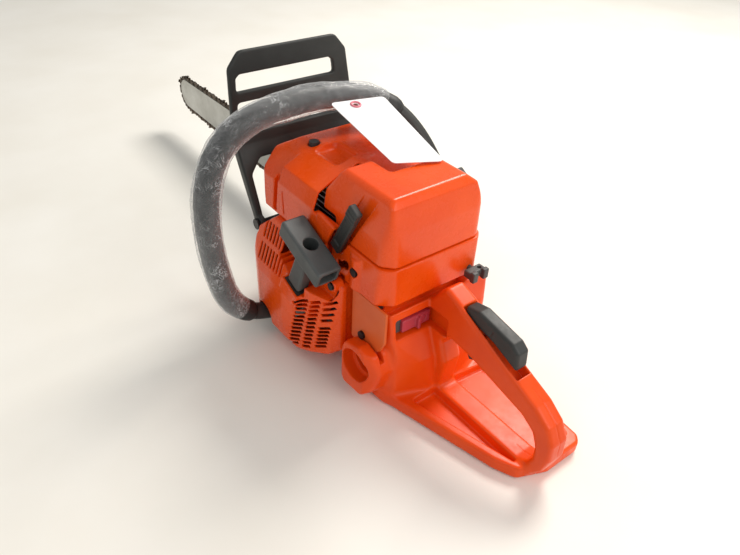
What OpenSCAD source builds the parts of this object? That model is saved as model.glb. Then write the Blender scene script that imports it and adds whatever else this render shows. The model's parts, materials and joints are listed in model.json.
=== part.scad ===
// Professional petrol chainsaw with its bar and chain, in millimetres.
// +X runs forward along the bar, +Y to the starter side, +Z up from the floor.
// The origin is on the floor under the crankshaft axis, in the cylinder's middle plane.

/* [Engine] */
// Height of the crankshaft axis above the floor
crank_z = 85; // [84:0.5:86]
// Cylinder bore diameter
bore_d = 56; // [54:1:56]
// Piston stroke
stroke = 38; // [36:1:38]
// Connecting rod length, centre to centre
rod_len = 80; // [79:0.5:81]

/* [Bar and chain] */
// Number of drive links in the chain loop
drive_links = 76; // [72:1:84]
// Distance between rivets, half of the chain's advance per drive link
rivet_pitch = 9.525; // [9.525]
// Teeth on the rim sprocket
rim_teeth = 7; // [7, 8]
// Teeth on the sprocket in the bar's nose
nose_teeth = 10; // [9, 10]
// Thickness of the guide bar
bar_t = 4.6; // [4.2:0.1:4.8]
// Middle plane of the guide bar, to the clutch side
bar_y = -63; // [-64:0.5:-62]

/* [Covers] */
// Wall thickness of the moulded covers
wall = 3; // [2.5:0.25:3.5]
// Top of the filter cover
cover_top = 262; // [260:1:264]
// Height of the seam between filter cover and intake housing
seam_z = 187; // [185:1:188]

/* [Handles] */
// Half the width of the rear handle
grip_half = 13; // [13:0.5:14]
// Outer radius of the front handle's tube
tube_r = 11; // [10:0.5:11]
// Outer radius of the rubber grip on the front handle
sleeve_r = 14.5; // [13.5:0.5:15]
// Outer radius of the clear film round the grip
film_r = 17.5; // [16.5:0.5:18]

/* [Hidden] */

orange = "#e8460f";
orange_dark = "#c8511f";
charcoal = "#333533";
grip_grey = "#48494a";
metal_light = "#b9bcbd";
metal_dark = "#5b5d5f";
$fn = 64;

// ---- derived sizes ----
case_half = 42;
seam_y = -4;
deck_z = crank_z + 53;
pin_r = stroke / 2;
pin_z = crank_z - pin_r;
piston_z = pin_z + rod_len;
piston_r = bore_d / 2 - 0.1;
web_r = 40;
link_advance = 2 * rivet_pitch;
rim_r = link_advance * rim_teeth / (2 * PI);
nose_r = link_advance * nose_teeth / (2 * PI);
nose_x = (drive_links * link_advance - PI * (rim_r + nose_r)) / 2 - 2;
chain_half = 3.2;
bar_half = 29;
bar_tail_x = 46;
nose_out = nose_r - 4.2;
stud_x = [74, 104];
guard_x = 74;
guard_z = 135;
// Pins of the throttle trigger and of the throttle lock, X and Z
trigger_pin = [-201, 112];
lock_pin = [-212.5, 142];

// A 2D outline in X and Z, made solid from y0 to y1
module side(y0, y1) {
    translate([0, y1, 0]) rotate([90, 0, 0]) linear_extrude(y1 - y0) children();
}
// A 2D outline in Y and Z, made solid from x0 to x1
module front(x0, x1) {
    translate([x0, 0, 0]) rotate([90, 0, 90]) linear_extrude(x1 - x0) children();
}
// A 2D outline in X and Y, made solid from z0 to z1
module plan(z0, z1) {
    translate([0, 0, z0]) linear_extrude(z1 - z0) children();
}
// A cylinder along Y
module rod_y(x, z, y0, y1, r) {
    translate([x, y1, z]) rotate([90, 0, 0]) cylinder(h = y1 - y0, r = r);
}
// A ring along Y
module ring_y(x, z, y0, y1, r_out, r_in) {
    difference() {
        rod_y(x, z, y0, y1, r_out);
        rod_y(x, z, y0 - 1, y1 + 1, r_in);
    }
}
// A cylinder along X
module rod_x(x0, x1, y, z, r) {
    translate([x0, y, z]) rotate([0, 90, 0]) cylinder(h = x1 - x0, r = r);
}
// A box from its two corners
module block(a, b) {
    translate(a) cube(b - a);
}
// A pan-head screw with its head towards +Y
module screw_y(x, y, z, head_r, length) {
    rod_y(x, z, y, y + 3, head_r);
    rod_y(x, z, y - length, y, head_r * 0.55);
}

// ---- engine ----
case_outline = [[-70, 0], [85, 0], [108, 22], [112, 70], [104, 112], [66, deck_z],
                [-60, deck_z], [-78, 112], [-78, 26]];

module crankcase_half(y0, y1) {
    difference() {
        union() {
            side(y0, y1) polygon(case_outline);
            rod_y(guard_x, guard_z, y0, y1, 8);
        }
        rod_y(0, crank_z, -23, 23, 46);
        rod_y(0, crank_z, -38, 38, 26.5);
        rod_y(0, crank_z, -50, 50, 12.5);
        translate([0, 0, crank_z]) cylinder(h = 60, r = bore_d / 2 + 1.5);
        for (sx = [-1, 1], sy = [-1, 1]) {
            translate([sx * 33, sy * 33, deck_z - 14]) cylinder(h = 20, r = 2.5);
        }
    }
}

module crankcase_left() {
    color(metal_light) difference() {
        crankcase_half(seam_y, case_half);
        rod_y(92, 34, case_half - 10, case_half + 1, 12);
        rod_y(guard_x, guard_z, seam_y - 1, case_half + 1, 4);
    }
}

module crankcase_right() {
    color(metal_light) {
        difference() {
            crankcase_half(-case_half, seam_y);
            rod_y(guard_x, guard_z, -case_half - 1, seam_y + 1, 4);
        }
        difference() {
            block([56, bar_y + bar_t / 2, 66], [109, -case_half, 104]);
            for (x = stud_x) {
                rod_y(x, crank_z, bar_y, -case_half + 1, 4);
            }
        }
    }
}

module main_bearings() {
    color("silver") {
        ring_y(0, crank_z, 24, 38, 26.5, 10.05);
        ring_y(0, crank_z, -38, -24, 26.5, 10.05);
    }
}

module crankshaft() {
    color("silver") {
        for (s = [-1, 1]) {
            rod_y(0, crank_z, s > 0 ? 7 : -21, s > 0 ? 21 : -7, web_r);
        }
        rod_y(0, crank_z, 21, 46, 10);
        rod_y(0, crank_z, 46, 72, 8);
        rod_y(0, crank_z, -52, -21, 10);
        rod_y(0, crank_z, -92, -52, 8);
    }
}

module rod_pins() {
    color("silver") {
        rod_y(0, pin_z, -6.5, 6.5, 8);
        rod_y(0, piston_z, -22, 22, 6.5);
    }
}

module connecting_rod() {
    color(metal_dark) difference() {
        union() {
            rod_y(0, pin_z, -6, 6, 14);
            rod_y(0, piston_z, -6, 6, 9.6);
            block([-6, -4, pin_z], [6, 4, piston_z]);
        }
        rod_y(0, pin_z, -8, 8, 8);
        rod_y(0, piston_z, -8, 8, 6.5);
    }
}

module piston() {
    color("gainsboro") difference() {
        translate([0, 0, piston_z - 18]) cylinder(h = 38, r = piston_r);
        difference() {
            translate([0, 0, piston_z - 19]) cylinder(h = 29, r = 23.5);
            block([-10, 8, piston_z - 9], [10, 24, piston_z + 12]);
            block([-10, -24, piston_z - 9], [10, -8, piston_z + 12]);
        }
        rod_y(0, piston_z, -30, 30, 6.5);
        for (z = [12.5, 16]) {
            translate([0, 0, piston_z + z]) difference() {
                cylinder(h = 1.5, r = 30);
                translate([0, 0, -1]) cylinder(h = 4, r = 25.5);
            }
        }
    }
}

module piston_rings() {
    color("dimgray") for (z = [12.5, 16]) {
        translate([0, 0, piston_z + z]) difference() {
            cylinder(h = 1.5, r = piston_r + 0.05);
            translate([0, 0, -1]) cylinder(h = 4, r = 25.5);
        }
    }
}

fin_count = 9;
fin_pitch = 8;
fin_t = 2.2;
plug_z = deck_z + 78;

module cylinder_body() {
    block([-42, -42, deck_z], [42, 42, deck_z + 7]);
    translate([0, 0, deck_z]) cylinder(h = 78, r = 35);
    for (i = [0:fin_count - 1]) {
        translate([-48, -46, deck_z + 13 + i * fin_pitch]) cube([96, 92, fin_t]);
    }
    rod_x(0, 52, 0, deck_z + 40, 18);
    rod_x(-52, 0, 0, deck_z + 38, 18);
}

module engine_cylinder() {
    color(metal_light) difference() {
        cylinder_body();
        translate([0, 0, deck_z - 1]) cylinder(h = 69, r = bore_d / 2);
        translate([0, 0, deck_z + 60]) cylinder(h = 30, r = 6);
        rod_x(20, 60, 0, deck_z + 40, 13);
        rod_x(-60, -20, 0, deck_z + 38, 12);
        translate([0, 0, deck_z + 78]) cylinder(h = 20, r = 10);
        translate([38, 34, deck_z + 55]) cylinder(h = 40, r = 5);
        // clear of the filter cover's front corner
        block([-60, 22, 205], [-34.5, 60, 230]);
        for (sx = [-1, 1], sy = [-1, 1]) {
            translate([sx * 33, sy * 33, deck_z - 1]) cylinder(h = 10, r = 2.5);
            translate([sx * 33, sy * 33, deck_z + 7]) cylinder(h = 80, r = 5);
        }
    }
}

module cylinder_bolts() {
    color("dimgray") for (sx = [-1, 1], sy = [-1, 1]) {
        translate([sx * 33, sy * 33, deck_z - 14]) cylinder(h = 21, r = 2.5);
        translate([sx * 33, sy * 33, deck_z + 7]) cylinder(h = 5, r = 4.5);
    }
}

module spark_plug() {
    color("white") {
        translate([0, 0, plug_z - 12]) cylinder(h = 12, r = 6);
        translate([0, 0, plug_z]) cylinder(h = 7, r = 9, $fn = 6);
        translate([0, 0, plug_z + 7]) cylinder(h = 12, r = 4.5);
    }
}

module plug_cap() {
    color(charcoal) difference() {
        union() {
            translate([0, 0, plug_z + 8]) cylinder(h = 14, r = 8);
            rod_x(-34, 0, 0, plug_z + 17, 4);
        }
        translate([0, 0, plug_z + 7]) cylinder(h = 12, r = 4.5);
    }
}

module decompression_valve() {
    color(charcoal) {
        translate([38, 34, deck_z + 60]) cylinder(h = 34, r = 4.7);
        translate([38, 34, deck_z + 94]) cylinder(h = 14, r = 6);
    }
}

module muffler() {
    color(metal_dark) {
        difference() {
            block([52, -40, 149], [95, 40, 210]);
            block([54, -38, 151], [93, 38, 208]);
            rod_x(50, 60, 0, deck_z + 40, 13);
            rod_x(90, 97, -22, 172, 8);
        }
        difference() {
            rod_x(93, 101, -22, 172, 10);
            rod_x(90, 103, -22, 172, 8);
        }
    }
}

module flywheel() {
    color("gainsboro") difference() {
        union() {
            rod_y(0, crank_z, 46, 53, 52);
            rod_y(0, crank_z, 53, 68, 18);
            for (i = [0:17]) {
                translate([0, 0, crank_z]) rotate([0, i * 20, 0]) block([22, 53, -1.5], [51, 67, 1.5]);
            }
        }
        rod_y(0, crank_z, 40, 70, 8);
    }
}

module ignition_coil() {
    color(charcoal) translate([0, 0, crank_z]) rotate([0, -40, 0]) {
        block([-13, 46.5, 53.5], [-5, 62, 62]);
        block([5, 46.5, 53.5], [13, 62, 62]);
        block([-20, 46.5, 62], [20, 66, 76]);
    }
}

// ---- intake ----
module intake_boot() {
    color(charcoal) difference() {
        rod_x(-76, -52, 0, deck_z + 38, 16);
        rod_x(-77, -51, 0, deck_z + 38, 12);
    }
}

module carburettor() {
    color(metal_light) difference() {
        union() {
            block([-104, -21, 160], [-76, 21, 182]);
            block([-98, -17, 182], [-82, 17, 186]);
            rod_y(-92, 168, -30, -21, 6);
        }
        rod_x(-105, -75, 0, deck_z + 34, 8);
    }
}

module air_filter() {
    color("whitesmoke") difference() {
        block([-144, -44, 158], [-106, 44, 238]);
        block([-138, -38, 164], [-112, 38, 232]);
        rod_x(-115, -105, 0, deck_z + 38, 14);
    }
}

module cylinder_cover_solid(in) {
    intersection() {
        side(-80, 95) polygon([[-91.5 + in, 158 - in], [-91.5 + in, 246 - in], [-30, 250 - in], [64, 242 - in],
                               [86 - in, 226], [84 - in, 200], [70 - in, 172], [60 - in, 158 - in]]);
        front(-100, 100) polygon([[-74 + in, 158 - in], [-72 + in, 205], [-60 + in, 232 - in], [-34, 246 - in],
                                 [22, 248 - in], [52, 238 - in], [78 - in, 226 - in], [85 - in, 207], [87 - in, 158 - in]]);
        plan(150, 260) polygon([[-91.5 + in, -76 + in], [50, -76 + in], [70 - in, -60], [84 - in, -20],
                                [86 - in, 40], [76 - in, 80], [66, 90 - in], [-91.5 + in, 90 - in]]);
    }
}

module cylinder_cover() {
    color(orange) {
        // wing and ledge that run back to the left latch
        side(80.5, 85) polygon([[-50, 166], [-50, 203.5], [-76, 203.5], [-61, 176], [-61, 166]]);
        block([-76, 75.5, 200.5], [-50, 85, 203.5]);
        cylinder_hood();
    }
}

module cylinder_hood() {
    difference() {
        cylinder_cover_solid(0);
        cylinder_cover_solid(wall);
        // clear of the filter cover and the intake housing behind it
        block([-95, 23.5, 140], [-35.5, 77, 260]);
        block([-95, 70, 204], [-35.5, 95, 260]);
        block([-95, 70, 140], [-57, 95, 260]);
        block([-95, -90, 140], [-59.5, 95, 187.3]);
        block([-95, -90, 140], [-59.5, -60, 260]);
        translate([38, 34, 220]) cylinder(h = 40, r = 7);
        block([58, -60, 140], [100, 60, 216]);
        block([26, 82, 170], [32, 95, 206]);
        block([-60, 40, 150], [100, 95, 165]);
    }
}

latch_tilt = 29;
// The latch's own frame: hinge at its foot, lever up along local z
module latch_frame(side_y) {
    translate([-70, side_y, 172]) rotate([0, -latch_tilt, 0]) children();
}

// Section of the filter cover across the saw, from its foot to its top
module cover_section(in) {
    polygon([[-64 + in, seam_z - 2 * in], [75 - in, seam_z - 2 * in], [72 - in, 215], [65 - in, cover_top - 6 - in],
             [59 - in, cover_top - in], [-38 + in, cover_top - in], [-51 + in, cover_top - 10 - in], [-60 + in, 225]]);
}
// Section along the saw
module cover_side(in) {
    polygon([[-156 + in, seam_z - 2 * in], [-153 + in, 225], [-147 + in, cover_top - 8 - in], [-140 + in, cover_top - in],
             [-62 - in, cover_top - in], [-38 - in, 228 - in], [-38 - in, 208], [-60 - in, 206], [-60 - in, seam_z - 2 * in]]);
}
// Plan with its chamfered rear corners and the notch in its front edge
module cover_plan(in) {
    polygon([[-156 + in, -50 + in], [-142 + in, -66 + in], [-92 - in, -66 + in], [-92 - in, 24 - in],
             [-46 - in, 24 - in], [-36 - in, 40], [-36 - in, 76 - in], [-140 + in, 76 - in], [-156 + in, 60 - in]]);
}

module filter_cover() {
    color(orange) difference() {
        intersection() {
            side(-70, 80) cover_side(0);
            front(-160, -30) cover_section(0);
            plan(180, 270) cover_plan(0);
        }
        difference() {
            intersection() {
                side(-70, 80) cover_side(wall);
                front(-160, -30) cover_section(wall);
                plan(170, 270) cover_plan(wall);
            }
            // floors of the latch recesses
            latch_frame(65) block([-12.5, 0, -20], [12.5, 20, 120]);
            latch_frame(-54) block([-12.5, -20, -20], [12.5, 0, 120]);
        }
        latch_frame(68) block([-9.5, 0, -8], [9.5, 20, 112]);
        latch_frame(-57) block([-9.5, -20, -8], [9.5, 0, 112]);
    }
}

// A latch that faces +Y, with the round foot that it swings on
module latch() {
    translate([-8, 6.5, 5.5]) rotate([0, 90, 0]) cylinder(h = 16, r = 3.5);
    block([-8, 3, 5.5], [8, 10, 60]);
    block([-8, 3, 60], [8, 8, 62]);
    block([-8, 3, 62], [8, 12, 78]);
}

module latch_left() {
    color(charcoal) latch_frame(72) latch();
}

module latch_right() {
    color(charcoal) latch_frame(-60) mirror([0, 1, 0]) latch();
}

module intake_housing() {
    color(orange) difference() {
        intersection() {
            side(-90, 90) polygon([[-158, 141], [-156, seam_z - 0.4], [-60, seam_z - 0.4], [-60, 141]]);
            front(-160, -50) polygon([[-68, 141], [80, 141], [75.5, seam_z], [-64.5, seam_z]]);
            plan(130, 200) polygon([[-158, -52], [-143, -68], [-60, -68], [-60, 80], [-143, 80], [-158, 62]]);
        }
        difference() {
            block([-152, -60, 141 + wall], [-64, 70, seam_z + 1]);
            latch_frame(66) block([-12.5, 0, -6], [12.5, 20, 40]);
            latch_frame(-57) block([-12.5, -20, -6], [12.5, 0, 40]);
        }
        rod_x(-66, -58, 0, deck_z + 38, 16.2);
        rod_x(-160, -150, -45, 149, 3.05);
        // latch seats
        latch_frame(71) block([-9.5, 0, 1.7], [9.5, 20, 40]);
        latch_frame(-61.5) block([-9.5, -20, 1.7], [9.5, 0, 40]);
        // oval recess with its hole, and the square notch at the lower edge
        rod_y(-79, 157, 76, 90, 5.5);
        rod_y(-89, 161, 76, 90, 5.5);
        rod_y(-89, 161, 60, 90, 3);
        block([-89, 74, 140], [-80, 90, 145.5]);
        rod_y(-107, 163, 60, 90, 2.75);
    }
}

module side_panel() {
    color(orange_dark) difference() {
        side(75.5, 79) polygon([[-164, 140.7], [-164, 100], [-156, 84], [-144, 75], [-96, 71], [-96, 140.7]]);
        rod_y(-125.5, 87.5, 70, 85, 2.75);
    }
}

module screws() {
    color("dimgray") {
        screw_y(-125.5, 79, 87.5, 5, 3.5);
        screw_y(-107, 78.4, 163, 5, 9);
        screw_y(-87, 94, 138, 4.5, 10);
        // shaft that the hand guard swings on
        rod_y(guard_x, guard_z, -85, 96, 4);
        rod_y(guard_x, guard_z, 96, 99, 7);
        rod_y(guard_x, guard_z, -88, -85, 7);
        // pins of the trigger and of the throttle lock
        rod_y(trigger_pin[0], trigger_pin[1], -8, 8, 1.95);
        rod_y(lock_pin[0], lock_pin[1], -9, 9, 1.95);
    }
}

// ---- tank and rear handle ----
// Outline of the rear handle's closed loop, seen from the side
handle_outer = [[-156, 6], [-158, 130], [-172, 150], [-180, 159], [-204, 150], [-284, 114], [-320, 99],
                [-339, 85], [-348, 67], [-349, 45], [-343, 25], [-331, 7], [-319, 2]];
handle_inner = [[-194, 60], [-184, 86], [-194, 99], [-230, 95], [-305, 77], [-321, 67], [-328, 52],
                [-329, 35], [-323, 22], [-311, 17], [-188, 17]];

module tank_block() {
    intersection() {
        side(-82, 98) polygon([[-160, 4], [-108, 4], [-100, 12], [-100, 66], [-112, 80], [-134, 88], [-140, 98],
                               [-142, 131], [-159, 131], [-163, 98], [-178, 62], [-184, 20]]);
        plan(0, 140) polygon([[-100, -78], [-160, -78], [-172, -60], [-184, -30], [-184, 22], [-168, 64],
                              [-150, 72], [-100, 72]]);
    }
    difference() {
        intersection() {
            side(50, 98) polygon([[-156, 30], [-144, 18], [-116, 18], [-109, 26], [-109, 64], [-116, 80],
                                  [-140, 86], [-158, 80], [-166, 60]]);
            plan(0, 100) polygon([[-109, 50], [-109, 97], [-150, 95], [-166, 84], [-178, 60], [-178, 50]]);
        }
        // clear of the side panel
        block([-180, 75, 70], [-90, 80.5, 100]);
    }
}

module handle_foot() {
    difference() {
        union() {
            plan(0, 6) polygon([[-334, -10], [-320, 16], [-296, 26], [-160, 62], [-110, 66], [-110, -72],
                                [-196, -72], [-324, -60], [-332, -54]]);
            plan(6, 17) polygon([[-338, -12], [-324, 22], [-300, 33], [-160, 69], [-110, 72], [-110, -78],
                                 [-200, -78], [-330, -68], [-338, -60]]);
        }
        translate([0, 0, 7]) linear_extrude(20) polygon([[-314, 18], [-170, 54], [-170, 14], [-314, 14]]);
        translate([0, 0, 7]) linear_extrude(20) polygon([[-318, -14], [-170, -14], [-176, -66], [-322, -58]]);
    }
}

module tank_handle() {
    color(orange) difference() {
        union() {
            tank_block();
            handle_foot();
            difference() {
                side(-grip_half, grip_half) polygon(handle_outer);
                side(-grip_half - 1, grip_half + 1) polygon(handle_inner);
            }
            block([-112, -106, 84], [-78.5, -78, 112]);
            block([-112, -106, 50], [-100, -70, 112]);
        }
        // fuel tank, its stepped neck, and the switch recess
        block([-150, -60, 14], [-106, 50, 64]);
        rod_y(-134, 56, 40, 99, 17);
        rod_y(-134, 56, 82, 99, 21);
        block([-180, 3, 96], [-152, 62, 121]);
        // hollow behind the rim over the switch
        block([-156, -40, 124], [-134, 66, 140]);
        block([-149, -40, 100], [-134, 66, 130]);
        // cavity for the trigger and the lock
        side(-8, 8) polygon([[-242, 90], [-232, 122], [-200, 126], [-189, 108], [-192, 84], [-236, 82]]);
        side(-9, 9) polygon([[-205, 158], [-205, 134], [-289, 96], [-289, 130]]);
    }
}

module fuel_pickup() {
    color("dimgray") {
        translate([-128, -20, 16]) cylinder(h = 16, r = 7);
        translate([-128, -20, 32]) cylinder(h = 32, r = 2.5);
    }
}

module throttle_trigger() {
    color(charcoal) difference() {
        side(-6, 6) polygon([[-196, 118], [-214, 117], [-226, 104], [-230, 90], [-222, 86], [-214, 96], [-198, 102]]);
        rod_y(trigger_pin[0], trigger_pin[1], -7, 7, 2);
    }
}

module throttle_lock() {
    color(charcoal) difference() {
        side(-8.5, 8.5) polygon([[-208, 139], [-208, 151], [-226, 155], [-274, 146], [-283, 139], [-285, 117],
                                 [-250, 131]]);
        rod_y(lock_pin[0], lock_pin[1], -10, 10, 2);
    }
}

module stop_switch() {
    color("#b8384e") {
        block([-154, 10, 98.5], [-152.2, 61, 116.5]);
        block([-159, 10, 99], [-154, 50, 115]);
        block([-164, 27, 99], [-159, 31, 113]);
    }
}

module choke_knob() {
    color(metal_dark) {
        rod_x(-166, -120, -45, 149, 3);
        block([-172, -57, 144], [-161, -33, 153]);
        block([-177, -57, 142], [-172, -49, 155]);
        block([-177, -41, 142], [-172, -33, 155]);
    }
}

// ---- starter ----
grip_tilt = 22;
grip_base = [-33, 104, 113];
spool_r = 30;

module housing_outer(in) {
    intersection() {
        side(48, 118 - in) polygon([[-98 + in, 46], [-98 + in, 136 - in], [-92, 139.3 - in], [-66, 142 - in],
                                    [-40, 162 - in], [36, 164 - in], [64, 140 - in], [75 - in, 96], [73 - in, 45],
                                    [58 - in * 0.7, 18 + in * 0.7], [36, 8 + in], [-20, 8 + in],
                                    [-84 + in * 0.4, 34 + in * 0.9]]);
        front(-120, 90) polygon([[48, 6], [104, 6 + in], [114, 18], [118 - in, 50], [116 - in, 92],
                                 [92 - in, 162], [84 - in, 168], [48, 168]]);
        plan(0, 180) polygon([[-98 + in, 48], [-98 + in, 86 - in * 0.7], [-88 + in * 0.3, 97 - in], [-60, 107 - in],
                              [-10, 116 - in], [44, 117 - in], [64, 108 - in], [75 - in, 90], [75 - in, 48]]);
    }
}

// A column of slanted slots from its top middle to its bottom middle
module slot_column(top, bottom, slots, length) {
    for (i = [0:slots - 1]) {
        c = top + (bottom - top) * i / (slots - 1);
        translate([c[0], 90, c[1]]) rotate([0, 29, 0]) block([-length / 2, 0, -1.7], [length / 2, 40, 1.7]);
    }
}

module starter_housing() {
    color(orange) {
        difference() {
            union() {
                housing_outer(0);
                // collar round the rope guide
                translate(grip_base) rotate([0, -grip_tilt, 0]) block([-17, -12, -24], [17, 13, -2.5]);
            }
            difference() {
                translate([0, -0.5, 0]) housing_outer(wall);
                // floor of the pocket that the starter grip lies in
                translate([grip_base[0], 0, grip_base[2]]) rotate([0, -grip_tilt, 0])
                    block([-46, 86.3, -25], [46, 130, 80]);
                // post of the starter pulley
                rod_y(0, crank_z, 74.5, 120, 8);
            }
            translate([grip_base[0], 0, grip_base[2]]) rotate([0, -grip_tilt, 0])
                block([-43.3, 88.6, -2.5], [46.5, 130, 81]);
            translate(grip_base) rotate([0, -grip_tilt, 0]) translate([0, 0, -30]) cylinder(h = 40, r = 2.5);
            // lower grille: three columns, the rear one in two groups
            slot_column([-48, 98], [-29, 20], 12, 23);
            slot_column([-67.5, 106], [-52, 29], 12, 17);
            slot_column([-85.5, 113], [-81.5, 86], 4, 18);
            slot_column([-79.5, 73], [-74, 42], 6, 19);
            // upper grille: two rows of slots
            for (c = [0:7], r = [0:1]) {
                translate([-2 + c * 7, 80, 104 + r * 28]) cube([3.4, 40, 22]);
            }
            // seat of the rope guide
            translate(grip_base) rotate([0, -grip_tilt, 0]) block([-14.2, -9, -21.3], [14.2, 9.7, 0]);
            // way for the front handle's foot
            block([21, 47, 0], [53, 130, 26]);
            rod_y(37, 26, 47, 130, 16);
            rod_y(-87, 138, 80, 110, 2.5);
            rod_y(-87, 138, 94, 112, 4.8);
            // clear of the guard's pivot, the tank and the intake housing
            rod_y(guard_x, guard_z, 84, 110, 11);
            block([-110, 40, 0], [-95.3, 80.4, 170]);
            block([-110, 40, 139.5], [-59, 80.8, 170]);
        }
    }
}

module starter_pulley() {
    color(metal_dark) difference() {
        union() {
            rod_y(0, crank_z, 76, 78, 36);
            rod_y(0, crank_z, 78, 84, spool_r - 3);
            rod_y(0, crank_z, 84, 86, 36);
        }
        rod_y(0, crank_z, 75, 87, 8.06);
    }
}

module recoil_spring() {
    color("slategray") for (r = [12:3:27]) {
        ring_y(0, crank_z, 70, 75, r + 1, r);
    }
}

module starter_rope() {
    color("white") {
        ring_y(0, crank_z, 78.5, 83.5, 34, spool_r - 2.9);
        translate(grip_base) rotate([0, -grip_tilt, 0]) translate([0, 0, -22]) cylinder(h = 74, r = 2);
    }
}

module rope_guide() {
    color(charcoal) translate(grip_base) rotate([0, -grip_tilt, 0]) difference() {
        block([-14, -8.7, -21], [14, 9.5, -2]);
        translate([0, 0, -30]) cylinder(h = 40, r = 3);
    }
}

module starter_grip() {
    color(grip_grey) translate(grip_base) rotate([0, -grip_tilt, 0]) difference() {
        union() {
            hull() {
                block([-12, -7, 0], [12, 8, 2]);
                block([-10, -8, 48], [10, 10, 56]);
            }
            hull() {
                block([-41, -15, 56], [39, 15, 72]);
                block([-39, -12, 53], [37, 12, 76]);
            }
        }
        translate([0, 0, -1]) cylinder(h = 54, r = 2.5);
        translate([0, 0, 54]) cylinder(h = 30, r = 8.5);
        block([-50, -10.5, 57], [-14, 10.5, 71]);
        block([14, -10.5, 57], [50, 10.5, 71]);
    }
}

// ---- clutch, sprocket and oil pump ----
module oil_pump() {
    color(metal_dark) difference() {
        union() {
            rod_y(0, crank_z, -50, -case_half, 26);
            block([10, -52, crank_z - 20], [44, -case_half, crank_z + 8]);
        }
        rod_y(0, crank_z, -53, -41, 10.4);
    }
}

module rim_sprocket() {
    color(metal_dark) difference() {
        rod_y(0, crank_z, -67, -59, rim_r - 3.9);
        rod_y(0, crank_z, -68, -58, 13);
        for (i = [0:rim_teeth - 1]) {
            translate([0, 0, crank_z]) rotate([0, i * 360 / rim_teeth, 0])
                block([rim_r - 7, -64, -2.5], [rim_r, -62, 2.5]);
        }
    }
}

module clutch_drum() {
    color(metal_dark) {
        ring_y(0, crank_z, -70, -58, 13, 11);
        ring_y(0, crank_z, -73, -70, 37.5, 11);
        ring_y(0, crank_z, -93, -73, 37.5, 35.5);
    }
}

module drum_bearing() {
    color("silver") ring_y(0, crank_z, -70, -58, 11, 8.06);
}

module clutch_hub() {
    color(metal_dark) difference() {
        union() {
            rod_y(0, crank_z, -90, -76, 15);
            for (a = [0, 120, 240]) {
                translate([0, 0, crank_z]) rotate([0, a, 0]) block([10, -89, -6], [24, -77, 6]);
            }
        }
        rod_y(0, crank_z, -91, -75, 8);
    }
}

module clutch_shoes() {
    color("dimgray") difference() {
        ring_y(0, crank_z, -90, -76, 34.6, 25);
        for (a = [60, 180, 300]) {
            translate([0, 0, crank_z]) rotate([0, a, 0]) block([20, -92, -3], [40, -74, 3]);
        }
    }
}

module brake_band() {
    color("slategray") difference() {
        ring_y(0, crank_z, -88, -76, 40, 38.5);
        block([-10, -90, crank_z + 30], [10, -70, crank_z + 50]);
    }
}

cover_line = [[-44, 34], [60, 34], [118, 42], [118, 127], [64, 129.5], [-20, 139], [-46, 122]];

module clutch_cover() {
    color(orange) difference() {
        union() {
            side(-76, -58.5) polygon(cover_line);
            rod_y(0, crank_z, -106, -58.5, 52);
        }
        difference() {
            union() {
                rod_y(0, crank_z, -103, -58, 49);
                side(-73, -58) polygon([[-41, 37], [60, 37], [119, 45], [119, 124], [63, 126.5], [-20, 136], [-43, 120]]);
            }
            block([58, -73, 68], [114, bar_y - bar_t / 2, 102]);
        }
        for (x = stud_x) {
            rod_y(x, crank_z, -80, -60, 4.2);
        }
        for (a = [-60:30:60]) {
            translate([0, 0, crank_z]) rotate([0, a, 0]) block([-40, -107, -3], [-18, -102, 3]);
        }
    }
}

module bar_studs() {
    color("silver") for (x = stud_x) {
        rod_y(x, crank_z, -86, -case_half, 4);
    }
}

module bar_nuts() {
    color("silver") for (x = stud_x) {
        difference() {
            union() {
                translate([x, -76, crank_z]) rotate([90, 0, 0]) cylinder(h = 8, r = 8, $fn = 6);
                rod_y(x, crank_z, -77.5, -76, 9.5);
            }
            rod_y(x, crank_z, -90, -70, 4);
        }
    }
}

// ---- bar and chain ----
module bar_outline(grow) {
    hull() {
        translate([nose_x, crank_z]) circle(r = nose_out + grow, $fn = 32);
        translate([360, crank_z]) square([2, 2 * bar_half + 4 + 2 * grow], center = true);
        translate([bar_tail_x + 14, crank_z]) square([2, 2 * bar_half - 4 + 2 * grow], center = true);
        translate([bar_tail_x + 1 - grow, crank_z]) square([2, 2 * bar_half - 16 + 2 * grow], center = true);
    }
}

module guide_bar() {
    color("silver") difference() {
        side(bar_y - bar_t / 2, bar_y + bar_t / 2) bar_outline(0);
        // groove for the drive links, and the space for the nose sprocket
        difference() {
            side(bar_y - 0.8, bar_y + 0.8) bar_outline(1);
            side(bar_y - 2, bar_y + 2) bar_outline(-7);
        }
        rod_y(nose_x, crank_z, bar_y - 0.8, bar_y + 0.8, nose_out);
        // slot for the studs, tensioner hole and oil hole
        block([stud_x[0] - 8, bar_y - 5, crank_z - 4.3], [stud_x[1] + 12, bar_y + 5, crank_z + 4.3]);
        for (s = [-1, 1]) {
            rod_y(82, crank_z + s * 17, bar_y - 5, bar_y + 5, 3);
        }
    }
}

module nose_sprocket() {
    color(metal_dark) difference() {
        rod_y(nose_x, crank_z, bar_y - 0.7, bar_y + 0.7, nose_out - 0.5);
        rod_y(nose_x, crank_z, bar_y - 1, bar_y + 1, 5);
        for (i = [0:nose_teeth - 1]) {
            translate([nose_x, 0, crank_z]) rotate([0, i * 360 / nose_teeth, 0])
                translate([nose_out, bar_y - 1, 0]) rotate([-90, 0, 0]) cylinder(h = 2, r = 4.5);
        }
    }
}

module chain_outline(out) {
    hull() {
        bar_outline(out);
        translate([0, crank_z]) circle(r = rim_r - 4.2 + out, $fn = 32);
    }
}

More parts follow.
